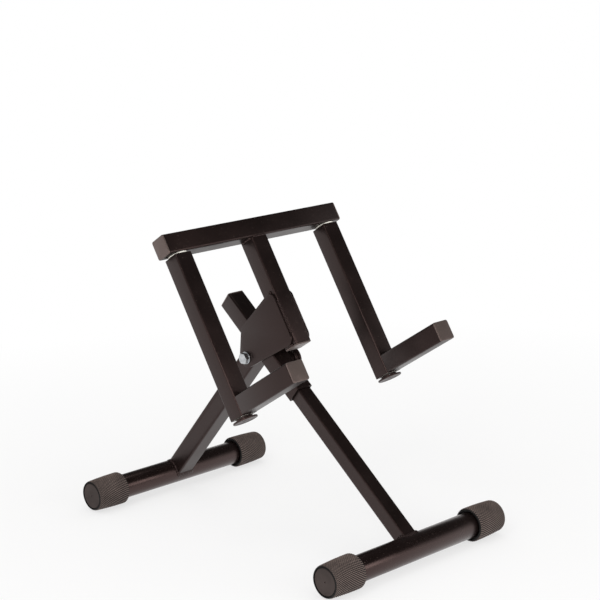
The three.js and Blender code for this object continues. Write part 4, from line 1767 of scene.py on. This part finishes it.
@dataclass
class Studio:
    """Pale floor, soft light and the camera."""

    floor_radius: float = 40.0
    floor_color: Color = (0.9, 0.9, 0.9, 1.0)
    floor_lift: float = 0.66
    floor_shine: float = 0.92
    floor_fade: tuple[float, float] = (0.35, 1.1)
    world_level: float = 0.75
    ceiling_level: float = 0.03
    camera_place: tuple[float, float, float] = (-1.3662, -1.5138, 0.7489)
    camera_right: tuple[float, float, float] = (0.72805, -0.68467, -0.03418)
    camera_up: tuple[float, float, float] = (0.17477, 0.13717, 0.97501)
    lens: float = 100.757
    lamps: tuple[SoftLamp, ...] = (
        SoftLamp("left_softbox", (-1.9, -1.3, 0.7), 1.6, 1.2, 20.0),
        SoftLamp("front_softbox", (0.4, -2.6, 0.9), 2.0, 1.0, 16.0),
        SoftLamp("top_softbox", (0.3, 0.4, 2.6), 1.2, 1.2, 3.5),
        SoftLamp("high_strip", (-1.5, -0.3, 2.0), 0.5, 1.0, 5.0),
    )

    def build(self) -> None:
        """Builds the floor, the world, the lamps and the camera."""
        self._floor()
        self._world()
        for lamp in self.lamps:
            lamp.build(Vector((0, 0, 0.2)))
        self._camera()
        bpy.context.scene.view_settings.view_transform = "Standard"

    def _floor(self) -> None:
        """Lays a wide disc of pale floor that shows white and keeps the stand's shadow."""
        bm = bmesh.new()
        bmesh.ops.create_circle(bm, cap_ends=True, segments=128, radius=self.floor_radius)
        mesh = bpy.data.meshes.new("floor")
        bm.to_mesh(mesh)
        bm.free()
        floor = bpy.data.objects.new("floor", mesh)
        bpy.context.scene.collection.objects.link(floor)
        material = bpy.data.materials.new("pale_floor")
        material.use_nodes = True
        graph = Graph(material.node_tree)
        material.node_tree.nodes.clear()
        paint = graph.feed(graph.add("BsdfDiffuse"), Color=self.floor_color)
        glow = graph.feed(graph.add("Emission"), Color=(1, 1, 1, 1), Strength=1.0)
        spot = graph.add("TexCoord").outputs["Object"]
        away = graph.feed(graph.add("VectorMath", operation="LENGTH"), Vector=spot).outputs["Value"]
        far = graph.ramp(away, *self.floor_fade)
        lift = graph.feed(graph.add("Mix", data_type="FLOAT"), Factor=far, A=self.floor_lift, B=1.0)
        rays = graph.add("LightPath")
        plain = graph.math("MULTIPLY", rays.outputs["Is Camera Ray"], lift.outputs["Result"])
        mirrored = graph.math("MULTIPLY", rays.outputs["Is Glossy Ray"], self.floor_shine)
        seen = graph.math("MAXIMUM", plain, mirrored)
        seen = graph.math("MAXIMUM", seen, rays.outputs["Is Transmission Ray"])
        mixed = graph.add("MixShader")
        graph.tree.links.new(seen, mixed.inputs[0])
        graph.tree.links.new(paint.outputs[0], mixed.inputs[1])
        graph.tree.links.new(glow.outputs[0], mixed.inputs[2])
        out = graph.add("OutputMaterial")
        graph.tree.links.new(mixed.outputs[0], out.inputs["Surface"])
        mesh.materials.append(material)

    @staticmethod
    def _seen(graph: Graph) -> bpy.types.NodeSocket:
        """1 where the camera, a reflection or clear glass sees the surface."""
        rays = graph.add("LightPath")
        either = graph.math("MAXIMUM", rays.outputs["Is Camera Ray"], rays.outputs["Is Glossy Ray"])
        return graph.math("MAXIMUM", either, rays.outputs["Is Transmission Ray"])

    def _world(self) -> None:
        """Lights the room evenly, white at the horizon and dim overhead."""
        world = bpy.data.worlds.new("studio")
        world.use_nodes = True
        bpy.context.scene.world = world
        graph = Graph(world.node_tree)
        world.node_tree.nodes.clear()
        direction = graph.add("TexCoord").outputs["Generated"]
        height = graph.feed(graph.add("SeparateXYZ"), Vector=direction).outputs["Z"]
        overhead = graph.ramp(height, 0.03, 0.45)
        seen = graph.feed(graph.add("Mix", data_type="FLOAT"), Factor=overhead, A=1.0, B=self.ceiling_level)
        level = graph.feed(
            graph.add("Mix", data_type="FLOAT"), Factor=self._seen(graph), A=self.world_level,
            B=seen.outputs["Result"])
        glow = graph.feed(graph.add("Background"), Color=(1, 1, 1, 1), Strength=level.outputs["Result"])
        out = graph.add("OutputWorld")
        graph.tree.links.new(glow.outputs[0], out.inputs["Surface"])

    def _camera(self) -> None:
        """Sets the camera at the photograph's angle."""
        lens = bpy.data.cameras.new("camera")
        lens.lens = self.lens
        lens.sensor_width = 36.0
        lens.clip_end = 100.0
        camera = bpy.data.objects.new("camera", lens)
        bpy.context.scene.collection.objects.link(camera)
        right, up = Vector(self.camera_right).normalized(), Vector(self.camera_up).normalized()
        turn = Matrix((right, up, right.cross(up))).transposed().to_4x4()
        camera.matrix_world = Matrix.Translation(self.camera_place) @ turn
        bpy.context.scene.camera = camera


def main() -> None:
    """Builds the stand and the studio."""
    logging.basicConfig(level=logging.INFO, format="%(name)s: %(message)s")
    shop = Workshop()
    for prefix in ("front", "rear"):
        FootBar(shop, prefix).build()
    FrontLeg(shop).build()
    Sleeve(shop).build()
    RearLeg(shop).build()
    CradleFrame(shop).build()
    Hinge(shop).build()
    Bracket(shop, Side.LEFT, set_screw_angle=-2.2).build()
    Bracket(shop, Side.RIGHT, set_screw_angle=2.2).build()
    Studio().build()
    LOG.info("%d pieces", len(shop.made))


if __name__ == "__main__":
    main()
